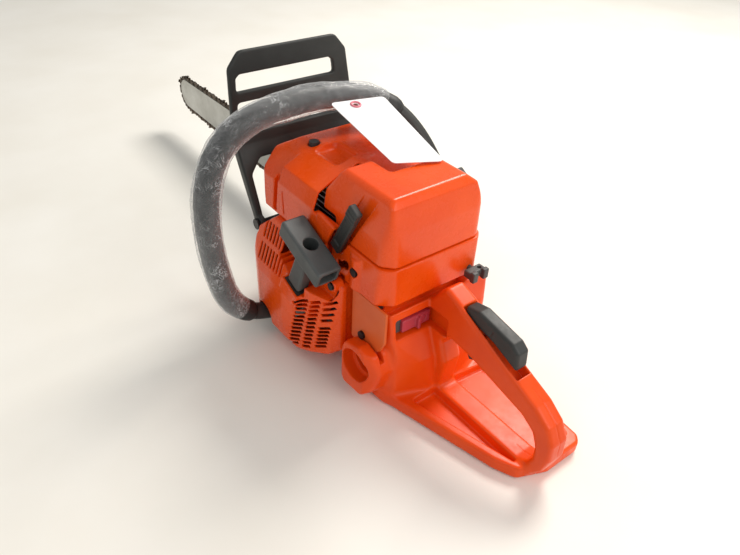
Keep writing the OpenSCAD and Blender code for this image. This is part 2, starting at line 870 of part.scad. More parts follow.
module saw_chain() {
    color("#6b5a48") difference() {
        side(bar_y - chain_half, bar_y + chain_half) chain_outline(9.5);
        side(bar_y - chain_half - 1, bar_y + chain_half + 1) chain_outline(0.6);
        // gaps between the cutters
        for (i = [0:12]) {
            translate([100 + i * 40, bar_y - 5, crank_z + 35.3]) cube([24, 10, 12]);
            translate([100 + i * 40, bar_y - 5, crank_z - 47.3]) cube([24, 10, 12]);
        }
    }
}

module chain_catcher() {
    color("gainsboro") block([30, -58, 22], [52, -case_half, 33]);
}

module spiked_bumper() {
    color(metal_dark) side(-46, -42) polygon(concat(
        [[110, 40], [113, 40]],
        [for (i = [0:4], p = [[126, 46], [114, 54]]) [p[0], p[1] + i * 16]],
        [[112, 134], [109.5, 112]]
    ));
}

module oil_cap() {
    color(charcoal) {
        rod_y(92, 34, case_half - 9, case_half, 11.9);
        rod_y(92, 34, case_half, case_half + 6, 15);
        block([80, case_half + 6, 32], [104, case_half + 10, 36]);
    }
}

// ---- front handle, film, tag and guard ----
// Centre line of the front handle, from its left foot over the top to its right foot
handle_points = [
    [36, 42.1, 20], [36, 50, 20], [36, 58, 20], [37, 80, 22], [38, 110, 26], [40, 138, 38], [43, 158, 62],
    [46, 167, 95], [49, 171, 135],
    [52, 171, 175], [54, 166, 212], [57, 152, 244], [59, 128, 268], [61, 95, 281], [61, 55, 286],
    [60, 15, 287], [56, -25, 283], [47, -60, 274], [30, -86, 257], [8, -102, 232], [-18, -110, 200],
    [-45, -110, 168], [-74, -102, 143], [-91, -93, 127], [-91, -93, 120], [-91, -93, 112.1]
];

function spline(p, i, t) =
    let (a = p[max(i - 1, 0)], b = p[i], c = p[i + 1], d = p[min(i + 2, len(p) - 1)])
    0.5 * ((2 * b) + (c - a) * t + (2 * a - 5 * b + 4 * c - d) * t * t + (3 * b - a - 3 * c + d) * t * t * t);
function unit(v) = v / norm(v);
function path(p, n) = [for (i = [0:len(p) - 2], k = [0:n - 1]) spline(p, i, k / n), p[len(p) - 1]];
function tangent(q, i) = unit(q[min(i + 1, len(q) - 1)] - q[max(i - 1, 0)]);

// A tube swept along q with the reference direction ref, from one end to the other
module sweep(q, r, sides) {
    ref = [1, 0.15, 0.1];
    n = len(q);
    points = [for (i = [0:n - 1], k = [0:sides - 1])
        let (t = tangent(q, i), u = unit(cross(t, ref)), v = cross(u, t), a = 360 * k / sides)
        q[i] + r * (cos(a) * u + sin(a) * v)];
    walls = [for (i = [0:n - 2], k = [0:sides - 1])
        let (a = i * sides + k, b = i * sides + (k + 1) % sides)
        [a, b, b + sides, a + sides]];
    first_end = [for (k = [sides - 1:-1:0]) k];
    last_end = [for (k = [0:sides - 1]) (n - 1) * sides + k];
    polyhedron(points, concat(walls, [first_end, last_end]));
}
function part_of(q, a, b) = [for (i = [a:b]) q[i]];

tube_line = path(handle_points, 3);
grip_line = part_of(tube_line, 14, 54);
film_line = part_of(tube_line, 16, 52);

module front_handle() {
    color(charcoal) {
        sweep(tube_line, tube_r, 16);
    }
}

module handle_grip() {
    color(grip_grey) difference() {
        sweep(grip_line, sleeve_r, 16);
        sweep(tube_line, tube_r + 0.3, 16);
    }
}

module grip_film() {
    color([0.9, 0.9, 0.92, 0.4]) difference() {
        sweep(film_line, film_r, 16);
        sweep(tube_line, sleeve_r + 0.4, 16);
    }
}

module hang_tag() {
    color("white") translate([35, 0, 286]) rotate([0, -9.4, 0]) linear_extrude(1)
        polygon([[3, 12], [-9, -57], [-145, -36], [-124, 18]]);
}

guard_line = [[68, 128], [80, 126], [123, 212], [127, 250], [131, 333], [125, 334], [120, 252], [113, 224]];

module hand_guard() {
    color(charcoal) difference() {
        union() {
            intersection() {
                side(-85, 100) polygon(guard_line);
                front(40, 150) polygon([[-84, 120], [-82, 232], [-71, 314], [-55, 333], [78, 333], [94, 314],
                                        [97, 232], [95, 120]]);
            }
            rod_y(guard_x, guard_z, -84, -77, 10);
            rod_y(guard_x, guard_z, 88, 95, 10);
        }
        front(40, 150) polygon([[-77, 100], [-77, 196], [-60, 206], [70, 206], [86, 190], [88, 100]]);
        front(40, 150) polygon([[-64, 236], [-56, 273], [86, 273], [88, 236]]);
        front(40, 150) polygon([[-52, 286], [-50, 302], [-45, 306], [80, 306], [85, 302], [86, 286]]);
        rod_y(guard_x, guard_z, -90, 100, 4.06);
    }
}

module av_mounts() {
    color("dimgray") {
        rod_x(-100, -78, 26, 50, 12);
        rod_x(-100, -78, -26, 50, 12);
    }
}

crankcase_left();
crankcase_right();
main_bearings();
crankshaft();
rod_pins();
connecting_rod();
piston();
piston_rings();
engine_cylinder();
cylinder_bolts();
spark_plug();
plug_cap();
decompression_valve();
muffler();
flywheel();
ignition_coil();
intake_boot();
carburettor();
air_filter();
filter_cover();
latch_left();
latch_right();
cylinder_cover();
intake_housing();
side_panel();
screws();
tank_handle();
fuel_pickup();
throttle_trigger();
throttle_lock();
stop_switch();
choke_knob();
starter_housing();
starter_pulley();
recoil_spring();
starter_rope();
rope_guide();
starter_grip();
clutch_hub();
clutch_shoes();
clutch_drum();
drum_bearing();
rim_sprocket();
brake_band();
oil_pump();
clutch_cover();
bar_studs();
bar_nuts();
guide_bar();
nose_sprocket();
saw_chain();
chain_catcher();
spiked_bumper();
oil_cap();
front_handle();
handle_grip();
grip_film();
hang_tag();
hand_guard();
av_mounts();
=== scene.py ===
import json
import math

import bpy
import numpy as np
import openvdb
from mathutils import Matrix, Vector, noise


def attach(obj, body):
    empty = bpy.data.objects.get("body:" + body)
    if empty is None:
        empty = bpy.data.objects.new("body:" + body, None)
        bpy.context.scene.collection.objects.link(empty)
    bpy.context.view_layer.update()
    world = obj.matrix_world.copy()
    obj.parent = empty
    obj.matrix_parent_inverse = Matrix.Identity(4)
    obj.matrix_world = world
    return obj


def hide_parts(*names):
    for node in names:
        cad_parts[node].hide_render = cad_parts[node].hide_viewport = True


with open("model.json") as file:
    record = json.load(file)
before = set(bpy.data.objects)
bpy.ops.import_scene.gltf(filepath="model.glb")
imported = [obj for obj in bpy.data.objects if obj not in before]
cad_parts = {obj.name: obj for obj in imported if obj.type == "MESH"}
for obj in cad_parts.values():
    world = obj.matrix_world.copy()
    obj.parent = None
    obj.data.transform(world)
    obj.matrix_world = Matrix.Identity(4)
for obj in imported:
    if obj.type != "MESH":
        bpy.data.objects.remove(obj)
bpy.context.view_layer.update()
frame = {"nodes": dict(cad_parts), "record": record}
nodes = frame["nodes"]
print("frame loaded:", len(nodes), "CAD nodes")

mm = 0.001
bpy.context.scene.view_settings.view_transform = "Standard"


# camera: stands behind the saw on the starter side, looking down at it
camera = {"place": (-0.55308, 0.41602, 0.57452), "yaw": -38.820, "pitch": -36.778, "roll": 2.800,
          "lens": 31.60}


def makeCamera(c):
    yaw, pitch, roll = (math.radians(c[k]) for k in ("yaw", "pitch", "roll"))
    ahead = Vector((math.cos(yaw) * math.cos(pitch), math.sin(yaw) * math.cos(pitch), math.sin(pitch)))
    right = ahead.cross(Vector((0, 0, 1))).normalized()
    up = right.cross(ahead)
    axisX = right * math.cos(roll) + up * math.sin(roll)
    axisY = up * math.cos(roll) - right * math.sin(roll)
    data = bpy.data.cameras.new("camera")
    data.lens = c["lens"]
    data.sensor_width = 36
    data.clip_start = 0.02
    ob = bpy.data.objects.new("camera", data)
    bpy.context.scene.collection.objects.link(ob)
    turn = Matrix((axisX, axisY, -ahead)).transposed()
    ob.matrix_world = Matrix.Translation(c["place"]) @ turn.to_4x4()
    bpy.context.scene.camera = ob


makeCamera(camera)


# sRGB hex to the linear colour that the shaders take
def linear(hexColour):
    parts = [int(hexColour[i:i + 2], 16) / 255 for i in (1, 3, 5)]
    return tuple(p / 12.92 if p <= 0.04045 else ((p + 0.055) / 1.055) ** 2.4 for p in parts) + (1.0,)


def addNode(tree, kind, settings=None, links=None):
    node = tree.nodes.new(kind)
    for key, value in (settings or {}).items():
        if isinstance(key, int) or key in node.inputs:
            node.inputs[key].default_value = value
        else:
            setattr(node, key, value)
    for key, source in (links or {}).items():
        tree.links.new(source, node.inputs[key])
    return node


def perMetre(sizeMm):
    # noise scale for a pattern of this real size
    return 1000.0 / sizeMm


def newFinish(name):
    finish = bpy.data.materials.new(name)
    finish.use_nodes = True
    finish.node_tree.nodes.clear()
    return finish, finish.node_tree


def closeFinish(tree, surface):
    out = addNode(tree, "ShaderNodeOutputMaterial")
    tree.links.new(surface.outputs[0], out.inputs["Surface"])


def colourRamp(tree, source, stops):
    ramp = addNode(tree, "ShaderNodeValToRGB", {}, {"Fac": source})
    while len(ramp.color_ramp.elements) < len(stops):
        ramp.color_ramp.elements.new(0.5)
    for element, (place, colour) in zip(ramp.color_ramp.elements, stops):
        element.position = place
        element.color = colour if isinstance(colour, tuple) else linear(colour)
    return ramp


# sizes of the patterns that every moulded or metal finish shares
driftMm, dustMm, scratchMm, oilMm = 71.4, 16.7, 3.85, 45.5
reliefDepth = 0.0003


def moulded(name, light, deep, roughLow, roughHigh, grainMm, bump, scuff=0.0, gloss=0.35, coat=0.0):
    # injection-moulded nylon: even colour that drifts a little with the flow, a fine mould grain,
    # and a sheen that breaks up where hands and dust have been
    finish, tree = newFinish(name)
    place = addNode(tree, "ShaderNodeTexCoord").outputs["Object"]
    drift = addNode(tree, "ShaderNodeTexNoise",
                    {"Scale": perMetre(driftMm), "Detail": 3.0, "Roughness": 0.55}, {"Vector": place})
    tone = colourRamp(tree, drift.outputs["Fac"], [(0.35, deep), (0.68, light)])
    dust = addNode(tree, "ShaderNodeTexNoise",
                   {"Scale": perMetre(dustMm), "Detail": 6.0, "Roughness": 0.7}, {"Vector": place})
    rough = addNode(tree, "ShaderNodeMapRange", {"From Min": 0.35, "From Max": 0.75, "To Min": roughLow,
                                                 "To Max": roughHigh}, {"Value": dust.outputs["Fac"]})
    grain = addNode(tree, "ShaderNodeTexNoise", {"Scale": perMetre(grainMm), "Detail": 2.0},
                    {"Vector": place})
    scratch = addNode(tree, "ShaderNodeTexNoise",
                      {"Scale": perMetre(scratchMm), "Detail": 4.0, "Distortion": 1.2}, {"Vector": place})
    height = addNode(tree, "ShaderNodeMath", {"operation": "MULTIPLY_ADD", 1: scuff},
                     {0: scratch.outputs["Fac"], 2: grain.outputs["Fac"]})
    relief = addNode(tree, "ShaderNodeBump", {"Strength": bump, "Distance": reliefDepth},
                     {"Height": height.outputs[0]})
    shell = addNode(tree, "ShaderNodeBsdfPrincipled",
                    {"IOR": 1.53, "Specular IOR Level": gloss, "Coat Weight": coat,
                                                       "Coat Roughness": 0.1},
                    {"Base Color": tone.outputs["Color"], "Roughness": rough.outputs["Result"],
                     "Normal": relief.outputs["Normal"]})
    closeFinish(tree, shell)
    return finish


def metal(name, light, deep, roughLow, roughHigh, grainMm, stretch=(1, 1, 1), bump=0.1, metallic=1.0):
    # cut, ground or cast metal: grain in the direction it was worked, oil film that dulls parts of it
    finish, tree = newFinish(name)
    place = addNode(tree, "ShaderNodeTexCoord").outputs["Object"]
    along = addNode(tree, "ShaderNodeMapping", {"Scale": stretch}, {"Vector": place})
    grain = addNode(tree, "ShaderNodeTexNoise",
                    {"Scale": perMetre(grainMm), "Detail": 5.0, "Roughness": 0.65},
                    {"Vector": along.outputs["Vector"]})
    film = addNode(tree, "ShaderNodeTexNoise",
                   {"Scale": perMetre(oilMm), "Detail": 5.0, "Roughness": 0.6}, {"Vector": place})
    tone = colourRamp(tree, film.outputs["Fac"], [(0.32, deep), (0.66, light)])
    rough = addNode(tree, "ShaderNodeMapRange", {"From Min": 0.3, "From Max": 0.7, "To Min": roughLow,
                                                 "To Max": roughHigh}, {"Value": grain.outputs["Fac"]})
    relief = addNode(tree, "ShaderNodeBump", {"Strength": bump, "Distance": reliefDepth},
                     {"Height": grain.outputs["Fac"]})
    body = addNode(tree, "ShaderNodeBsdfPrincipled", {"Metallic": metallic},
                   {"Base Color": tone.outputs["Color"], "Roughness": rough.outputs["Result"],
                    "Normal": relief.outputs["Normal"]})
    closeFinish(tree, body)
    return finish


def cloudedFilm(name):
    # clear polythene film: the rubber shows through it; near-white opacity along its creases is a painted
    # highlight, and along its edges a painted reflection
    finish, tree = newFinish(name)
    place = addNode(tree, "ShaderNodeTexCoord").outputs["Object"]
    crease = addNode(tree, "ShaderNodeTexNoise",
                     {"Scale": perMetre(13.3), "Detail": 6.0, "Roughness": 0.6, "Distortion": 1.8},
                     {"Vector": place})
    ridge = addNode(tree, "ShaderNodeMath", {"operation": "SUBTRACT", 1: 0.5}, {0: crease.outputs["Fac"]})
    sharp = addNode(tree, "ShaderNodeMath", {"operation": "ABSOLUTE"}, {0: ridge.outputs[0]})
    # painted highlights: the sheet turns opaque near-white along the crease lines
    paintedCreaseLines = addNode(tree, "ShaderNodeMapRange",
                    {"From Min": 0.0, "From Max": 0.035, "To Min": 0.65, "To Max": 0.0},
                    {"Value": sharp.outputs[0]})
    patch = addNode(tree, "ShaderNodeTexNoise", {"Scale": perMetre(33.3), "Detail": 3.0}, {"Vector": place})
    where = addNode(tree, "ShaderNodeMapRange",
                    {"From Min": 0.42, "From Max": 0.66, "To Min": 0.06, "To Max": 1.0},
                    {"Value": patch.outputs["Fac"]})
    # the painted crease highlights, kept to scattered patches
    paintedCreaseHighlights = addNode(tree, "ShaderNodeMath", {"operation": "MULTIPLY"}, {0: paintedCreaseLines.outputs["Result"],
                                                                         1: where.outputs["Result"]})
    # painted reflection: the sheet turns opaque near-white where it is seen edge-on
    rim = addNode(tree, "ShaderNodeLayerWeight", {"Blend": 0.25})
    edge = addNode(tree, "ShaderNodeMath", {"operation": "MULTIPLY_ADD", 1: 0.75, 2: 0.05},
                   {0: rim.outputs["Facing"]})
    # film opacity: a thin real film plus the painted crease highlights and the painted edge reflection
    cover = addNode(tree, "ShaderNodeMath", {"operation": "ADD", "use_clamp": True},
                    {0: paintedCreaseHighlights.outputs[0], 1: edge.outputs[0]})
    relief = addNode(tree, "ShaderNodeBump", {"Strength": 0.7, "Distance": 0.002},
                     {"Height": crease.outputs["Fac"]})
    sheet = addNode(tree, "ShaderNodeBsdfPrincipled",
                    {"Base Color": linear("#E4E6E8"), "Roughness": 0.12, "IOR": 1.5,
                                                       "Specular IOR Level": 1.0},
                    {"Alpha": cover.outputs[0], "Normal": relief.outputs["Normal"]})
    closeFinish(tree, sheet)
    return finish


def plain(name, light, deep, rough, mottleMm, bump=0.15):
    # small dull parts: rubber, card, felt, rope
    finish, tree = newFinish(name)
    place = addNode(tree, "ShaderNodeTexCoord").outputs["Object"]
    mottle = addNode(tree, "ShaderNodeTexNoise", {"Scale": perMetre(mottleMm), "Detail": 5.0},
                     {"Vector": place})
    tone = colourRamp(tree, mottle.outputs["Fac"], [(0.3, deep), (0.7, light)])
    relief = addNode(tree, "ShaderNodeBump", {"Strength": bump, "Distance": reliefDepth},
                     {"Height": mottle.outputs["Fac"]})
    body = addNode(tree, "ShaderNodeBsdfPrincipled", {"Roughness": rough},
                   {"Base Color": tone.outputs["Color"], "Normal": relief.outputs["Normal"]})
    closeFinish(tree, body)
    return finish


finishes = {
    # glossy orange nylon of the covers: smooth tool surface, clear reflections
    "coverNylon": moulded("coverNylon", "#F4540C", "#EA4A07", 0.22, 0.36, 1.2, 0.012, 0.2, 0.3, 0.1),
    # tank and rear handle: the same nylon, a little duller
    "tankNylon": moulded("tankNylon", "#F1530F", "#E64808", 0.28, 0.42, 1.1, 0.02, 0.3, 0.28),
    # carburettor-side panel: the orange nylon tinted browner, a painted shade for the side that faces away
    # from the light
    "panelShadedNylon": moulded("panelShadedNylon", "#E0662F", "#D65A24", 0.32, 0.45, 1.1, 0.03, 0.3),
    # guard and handle fittings: glass-filled nylon, charcoal, faintly speckled
    "charcoalNylon": moulded("charcoalNylon", "#383938", "#2B2C2B", 0.40, 0.58, 0.9, 0.12, 0.5),
    # grips worn grey
    "greyNylon": moulded("greyNylon", "#565959", "#434646", 0.38, 0.56, 0.8, 0.15, 0.8),
    # red nylon of the stop slider: satin, slightly faded
    "redPlastic": moulded("redPlastic", "#C24A58", "#AE3846", 0.3, 0.45, 1.0, 0.03),
    # die-cast magnesium of the crankcase: dull, with a sandy skin
    "magnesium": metal("magnesium", "#9C9E9F", "#85878A", 0.45, 0.65, 0.8, bump=0.35),
    # cast aluminium of the fins and flywheel: pale and matt
    "castAlloy": metal("castAlloy", "#B4B6B8", "#9B9DA0", 0.4, 0.6, 0.8, bump=0.3),
    # turned aluminium: bright, with fine tool rings
    "turnedAlloy": metal("turnedAlloy", "#C9CBCC", "#B5B7B8", 0.22, 0.4, 0.6, (1, 12, 1)),
    # guide bar: ground steel, grinding lines run across it, thin brown oil
    "groundSteel": metal("groundSteel", "#C2C3C0", "#A9A9A4", 0.26, 0.46, 0.7, (7, 1, 1), 0.12),
    # ground steel of shafts and bearings: clean highlights
    "brightSteel": metal("brightSteel", "#B9BABB", "#A2A3A4", 0.25, 0.42, 0.5),
    # black-oxide steel of screws: dark, worn a little at the heads
    "blackSteel": metal("blackSteel", "#3B3B3C", "#232324", 0.35, 0.55, 0.6, bump=0.2, metallic=0.8),
    # chain: hardened steel under old oil and sawdust
    "oiledChain": metal("oiledChain", "#6D5F51", "#42382F", 0.32, 0.55, 0.5, bump=0.25),
    # heat-proof paint on pressed steel: flat near-black
    "mufflerPaint": metal("mufflerPaint", "#2B2B2B", "#1D1D1D", 0.5, 0.7, 0.7, bump=0.3, metallic=0.6),
    # moulded rubber of mounts and boots: no shine
    "rubber": plain("rubber", "#2C2D2D", "#202121", 0.62, 3.125),
    # handle grip rubber: soft sheen under the film
    "gripRubber": plain("gripRubber", "#2A2B2C", "#1C1D1E", 0.5, 2.38, 0.3),
    # filter felt: pale, fully matt
    "feltMesh": plain("feltMesh", "#D8D6CC", "#BDBBB0", 0.9, 2.0, 0.4),
    # braided polyester rope: pale, rough
    "ropeFibre": plain("ropeFibre", "#D9D8D2", "#B5B3AC", 0.85, 1.43, 0.4),
    # glazed ceramic of the plug: white and glossy
    "glazedCeramic": plain("glazedCeramic", "#F0EEE8", "#E2E0DA", 0.15, 16.7, 0.02),
    # coated card: white, even, a dull sheen
    "card": plain("card", "#F2F3F5", "#E9EAED", 0.55, 6.25, 0.05),
    # pink plastic eyelet
    "pinkRing": plain("pinkRing", "#E58A97", "#DC7886", 0.5, 5.0, 0.05),
    # clear polythene wrap, see cloudedFilm
    "clearFilm": cloudedFilm("clearFilm"),
}

slotFinish = {
    "orange_cover": "coverNylon", "orange_tank": "tankNylon", "tan_panel": "panelShadedNylon",
    "black_plastic": "charcoalNylon", "grey_plastic": "greyNylon", "red_plastic": "redPlastic",
    "magnesium": "magnesium", "cast_alloy": "castAlloy", "machined_alloy": "turnedAlloy",
    "bar_steel": "groundSteel", "bright_steel": "brightSteel", "dark_steel": "blackSteel",
    "chain_steel": "oiledChain", "muffler_steel": "mufflerPaint", "rubber": "rubber",
    "filter_felt": "feltMesh", "rope_fibre": "ropeFibre", "ceramic": "glazedCeramic",
    "clear_film": "clearFilm", "card": "card",
}
nodeSlot = {part["node"]: part["material_slot"] for part in frame["record"]["subparts"]}
nodeBody = {node: body for body, held in frame["record"]["behaviour"]["bodies"].items() for node in held}
for name, ob in nodes.items():
    ob.data.materials.clear()
    ob.data.materials.append(finishes[slotFinish[nodeSlot[name]]])
print("finishes made:", len(finishes))


# moulding: every shape is a distance field in millimetres, turned into a smooth skin
def fillet(corners, radius, steps=5):
    # rounds every corner of an outline; a corner may carry its own radius as a third number
    out = []
    n = len(corners)
    for i in range(n):
        p = np.array(corners[i][:2], float)
        a = np.array(corners[i - 1][:2], float)
        b = np.array(corners[(i + 1) % n][:2], float)
        r = corners[i][2] if len(corners[i]) > 2 else radius
        u, v = (a - p), (b - p)
        lu, lv = np.linalg.norm(u), np.linalg.norm(v)
        u, v = u / lu, v / lv
        half = math.acos(max(-1, min(1, float(u @ v)))) / 2
        if r <= 0 or half > 1.54:
            out.append(tuple(p))
            continue
        cut = min(r / math.tan(half), 0.45 * lu, 0.45 * lv)
        for k in range(steps + 1):
            t = k / steps
            q = (p + u * cut) * (1 - t) ** 2 + 2 * t * (1 - t) * p + t * t * (p + v * cut)
            out.append(tuple(q))
    return out


def outlineField(corners, a, b):
    # signed distance to a closed outline on the grid a x b, negative inside
    pa, pb = np.meshgrid(a, b, indexing="ij")
    best = np.full(pa.shape, 1e9, np.float32)
    inside = np.zeros(pa.shape, bool)
    n = len(corners)
    for i in range(n):
        x0, y0 = corners[i]
        x1, y1 = corners[(i + 1) % n]
        ex, ey = x1 - x0, y1 - y0
        length = ex * ex + ey * ey
        if length < 1e-9:
            continue
        t = np.clip(((pa - x0) * ex + (pb - y0) * ey) / length, 0, 1)
        d = (pa - x0 - t * ex) ** 2 + (pb - y0 - t * ey) ** 2
        best = np.minimum(best, d.astype(np.float32))
        crosses = ((y0 > pb) != (y1 > pb)) & (pa < ex * (pb - y0) / (ey if ey else 1e-9) + x0)
        inside ^= crosses
    best = np.sqrt(best)
    return np.where(inside, -best, best).astype(np.float32)


def joinIn(a, b, k):
    # what both have, with the edge between them rounded over k
    if k <= 0:
        return np.maximum(a, b)
    h = np.maximum(k - np.abs(a - b), 0) / k
    return np.maximum(a, b) + h * h * k * 0.25


def joinOut(a, b, k):
    # both together, with a soft inner corner
    return -joinIn(-a, -b, k)


def cutOut(a, b, k=0.0):
    return joinIn(a, -b, k)


class Blank:
    # a block of space, in millimetres, that a shape is moulded in
    def __init__(self, low, high, step):
        self.low, self.step = np.array(low, float), step
        self.x, self.y, self.z = (np.arange(low[i], high[i] + step, step,
                                            dtype=np.float32) for i in range(3))
        self.gx, self.gy, self.gz = self.x[:, None, None], self.y[None, :, None], self.z[None, None, :]

    def side(self, corners, radius=0):
        return outlineField(fillet(corners, radius), self.x, self.z)[:, None, :]

    def front(self, corners, radius=0):
        return outlineField(fillet(corners, radius), self.y, self.z)[None, :, :]

    def plan(self, corners, radius=0):
        return outlineField(fillet(corners, radius), self.x, self.y)[:, :, None]

    def box(self, low, high, tilt=0.0, origin=(0, 0, 0), edge=0.0):
        # a box, leaned back by tilt degrees about Y through origin
        c, s = math.cos(math.radians(tilt)), math.sin(math.radians(tilt))
        dx, dz = self.gx - origin[0], self.gz - origin[2]
        u, w, v = dx * c + dz * s, dz * c - dx * s, self.gy - origin[1]
        parts = [np.abs(g - (low[i] + high[i]) / 2) - (high[i] - low[i]) / 2 + edge
                 for i, g in enumerate((u, v, w))]
        worst = np.maximum(np.maximum(parts[0], parts[1]), parts[2])
        if not edge:
            return worst
        out = np.sqrt(sum(np.maximum(p, 0) ** 2 for p in parts))
        return out + np.minimum(worst, 0) - edge

    def rod(self, axis, centre, radius, start=-1e4, end=1e4):
        # a cylinder along "x", "y" or "z"; centre holds the other two coordinates in x, y, z order
        grids = {"x": (self.gy, self.gz, self.gx), "y": (self.gx, self.gz, self.gy),
                 "z": (self.gx, self.gy, self.gz)}
        a, b, along = grids[axis]
        d = np.sqrt((a - centre[0]) ** 2 + (b - centre[1]) ** 2) - radius
        if end > 9e3:
            return d
        return np.maximum(d, np.maximum(start - along, along - end))

    def skin(self, field):
        grid = openvdb.FloatGrid(4.0)
        grid.copyFromArray(np.array(field + 0 * (self.gx + self.gy + self.gz), np.float32, order="C"))
        points, quads = grid.convertToQuads(isovalue=0.0)
        points = (np.array(points, float) * self.step + self.low) * mm
        return points, np.array(quads, np.int64)


def signedVolume(points, quads):
    a, b, c, d = (points[quads[:, i]] for i in range(4))
    return float(np.einsum("ij,ij->", a, np.cross(b, c)) + np.einsum("ij,ij->", a, np.cross(c, d)))


def addPiece(name, points, faces, finish, body, stands=(), smooth=True):
    mesh = bpy.data.meshes.new(name)
    if isinstance(faces, np.ndarray):
        if signedVolume(points, faces) < 0:
            faces = faces[:, ::-1]
        faces = faces.tolist()
    mesh.from_pydata([tuple(p) for p in points], [], faces)
    mesh.update()
    mesh.polygons.foreach_set("use_smooth", [smooth] * len(mesh.polygons))
    mesh.materials.append(finishes[finish])
    ob = bpy.data.objects.new(name, mesh)
    bpy.context.scene.collection.objects.link(ob)
    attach(ob, body)
    if stands:
        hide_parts(*stands)
    return ob


def mouldPiece(name, blank, field, finish, body, stands=()):
    points, quads = blank.skin(field)
    ob = addPiece(name, points, quads, finish, body, stands)
    print("moulded", name, len(quads))
    return ob


# filter cover: deep lid with a notch in its front edge and a latch channel on each side
cover = {"step": 0.9, "wall": 3.0, "edge": 4.5, "bottom": 187.6}
latchOrigin, latchTilt = (-70, 0, 172), 29


def filterCover(c):
    b = Blank((-162, -72, 180), (-30, 82, 268), c["step"])
    side = b.side([(-156, 170), (-153, 225), (-147, 253), (-139, 262), (-62, 262), (-36.5, 228),
                   (-36.5, 206), (-61, 206), (-61, 170)], 4)
    cross = b.front([(-64, 170), (-60, 225), (-51, 252), (-38, 262), (59, 262), (65, 256), (72, 215),
                     (75, 170)], 4)
    plan = b.plan([(-156, -50), (-142, -66), (-92, -66, 4), (-92, 24, 5), (-46, 24, 4), (-36.5, 38, 3),
                   (-36.5, 76, 1), (-140, 76), (-156, 60)], 12)
    outer = joinIn(joinIn(side, cross, c["edge"]), plan, c["edge"])
    left = b.box((-9.5, 65.5, -8), (9.5, 90, 110), latchTilt, latchOrigin)
    right = b.box((-9.5, -90, -8), (9.5, -55, 110), latchTilt, latchOrigin)
    outer = cutOut(cutOut(outer, left, 0.4), right, 0.4)
    shell = cutOut(outer, outer + c["wall"])
    # a soft bead round the lower edge
    shell = joinIn(shell, c["bottom"] - b.gz, 1.0)
    return mouldPiece("filterCoverShell", b, shell, "coverNylon", "saw", ["filter_cover"])


filterCover(cover)


# housing under the filter cover: carries the latches' feet and the choke
intake = {"step": 0.9, "wall": 3.0, "edge": 3.5, "top": 186.4, "bottom": 141.0}


def intakeHousing(c):
    b = Blank((-164, -74, 134), (-54, 86, 192), c["step"])
    side = b.side([(-158.5, 130), (-156.4, 200), (-60, 200), (-60, 130)], 3)
    cross = b.front([(-68.5, 130), (-64.4, 187), (-63, 200), (74, 200), (75.6, 187), (80, 141),
                     (81, 130)], 2)
    plan = b.plan([(-158, -52), (-143, -68), (-60, -68), (-60, 80), (-143, 80), (-158, 62)], 7)
    outer = joinIn(joinIn(side, cross, c["edge"]), plan, c["edge"])
    # rounded post that takes the screw
    outer = joinOut(outer, b.rod("z", (-107, 74.5), 7.0, 130, 179), 6)
    outer = joinIn(outer, np.maximum(c["bottom"] - b.gz, b.gz - c["top"]), 1.2)
    field = cutOut(outer, np.maximum(outer + c["wall"], (c["bottom"] + c["wall"]) - b.gz))
    field = joinOut(field,
                    np.maximum(outer, b.box((-12.5, 66, -6), (12.5, 90, 40), latchTilt, latchOrigin)), 0)
    field = joinOut(field,
                    np.maximum(outer, b.box((-12.5, -90, -6), (12.5, -57, 40), latchTilt, latchOrigin)), 0)
    field = cutOut(field, b.box((-9.5, 71, 1.7), (9.5, 100, 40), latchTilt, latchOrigin), 0.8)
    field = cutOut(field, b.box((-9.5, -100, 1.7), (9.5, -61.5, 40), latchTilt, latchOrigin), 0.8)
    # oval recess with its hole, square notch, screw seat, way for the choke rod
    oval = joinOut(b.rod("y", (-79, 157), 5.5, 75.5, 100), b.rod("y", (-89, 161), 5.5, 75.5, 100), 4)
    field = cutOut(field, oval, 0.8)
    field = cutOut(field, b.rod("y", (-89, 161), 3.2, 55, 100), 0.5)
    field = cutOut(field, b.box((-89, 73, 139), (-80, 100, 146)), 0.5)
    field = cutOut(field, b.rod("y", (-107, 163), 5.8, 78.3, 100), 0.5)
    field = cutOut(field, b.rod("x", (-45, 149), 3.3, -170, -145), 0.3)
    return mouldPiece("intakeHousingShell", b, field, "coverNylon", "saw", ["intake_housing"])


intakeHousing(intake)


# cylinder cover: faceted hood over the fins
hood = {"step": 0.9, "wall": 3.0, "edge": 3.0}


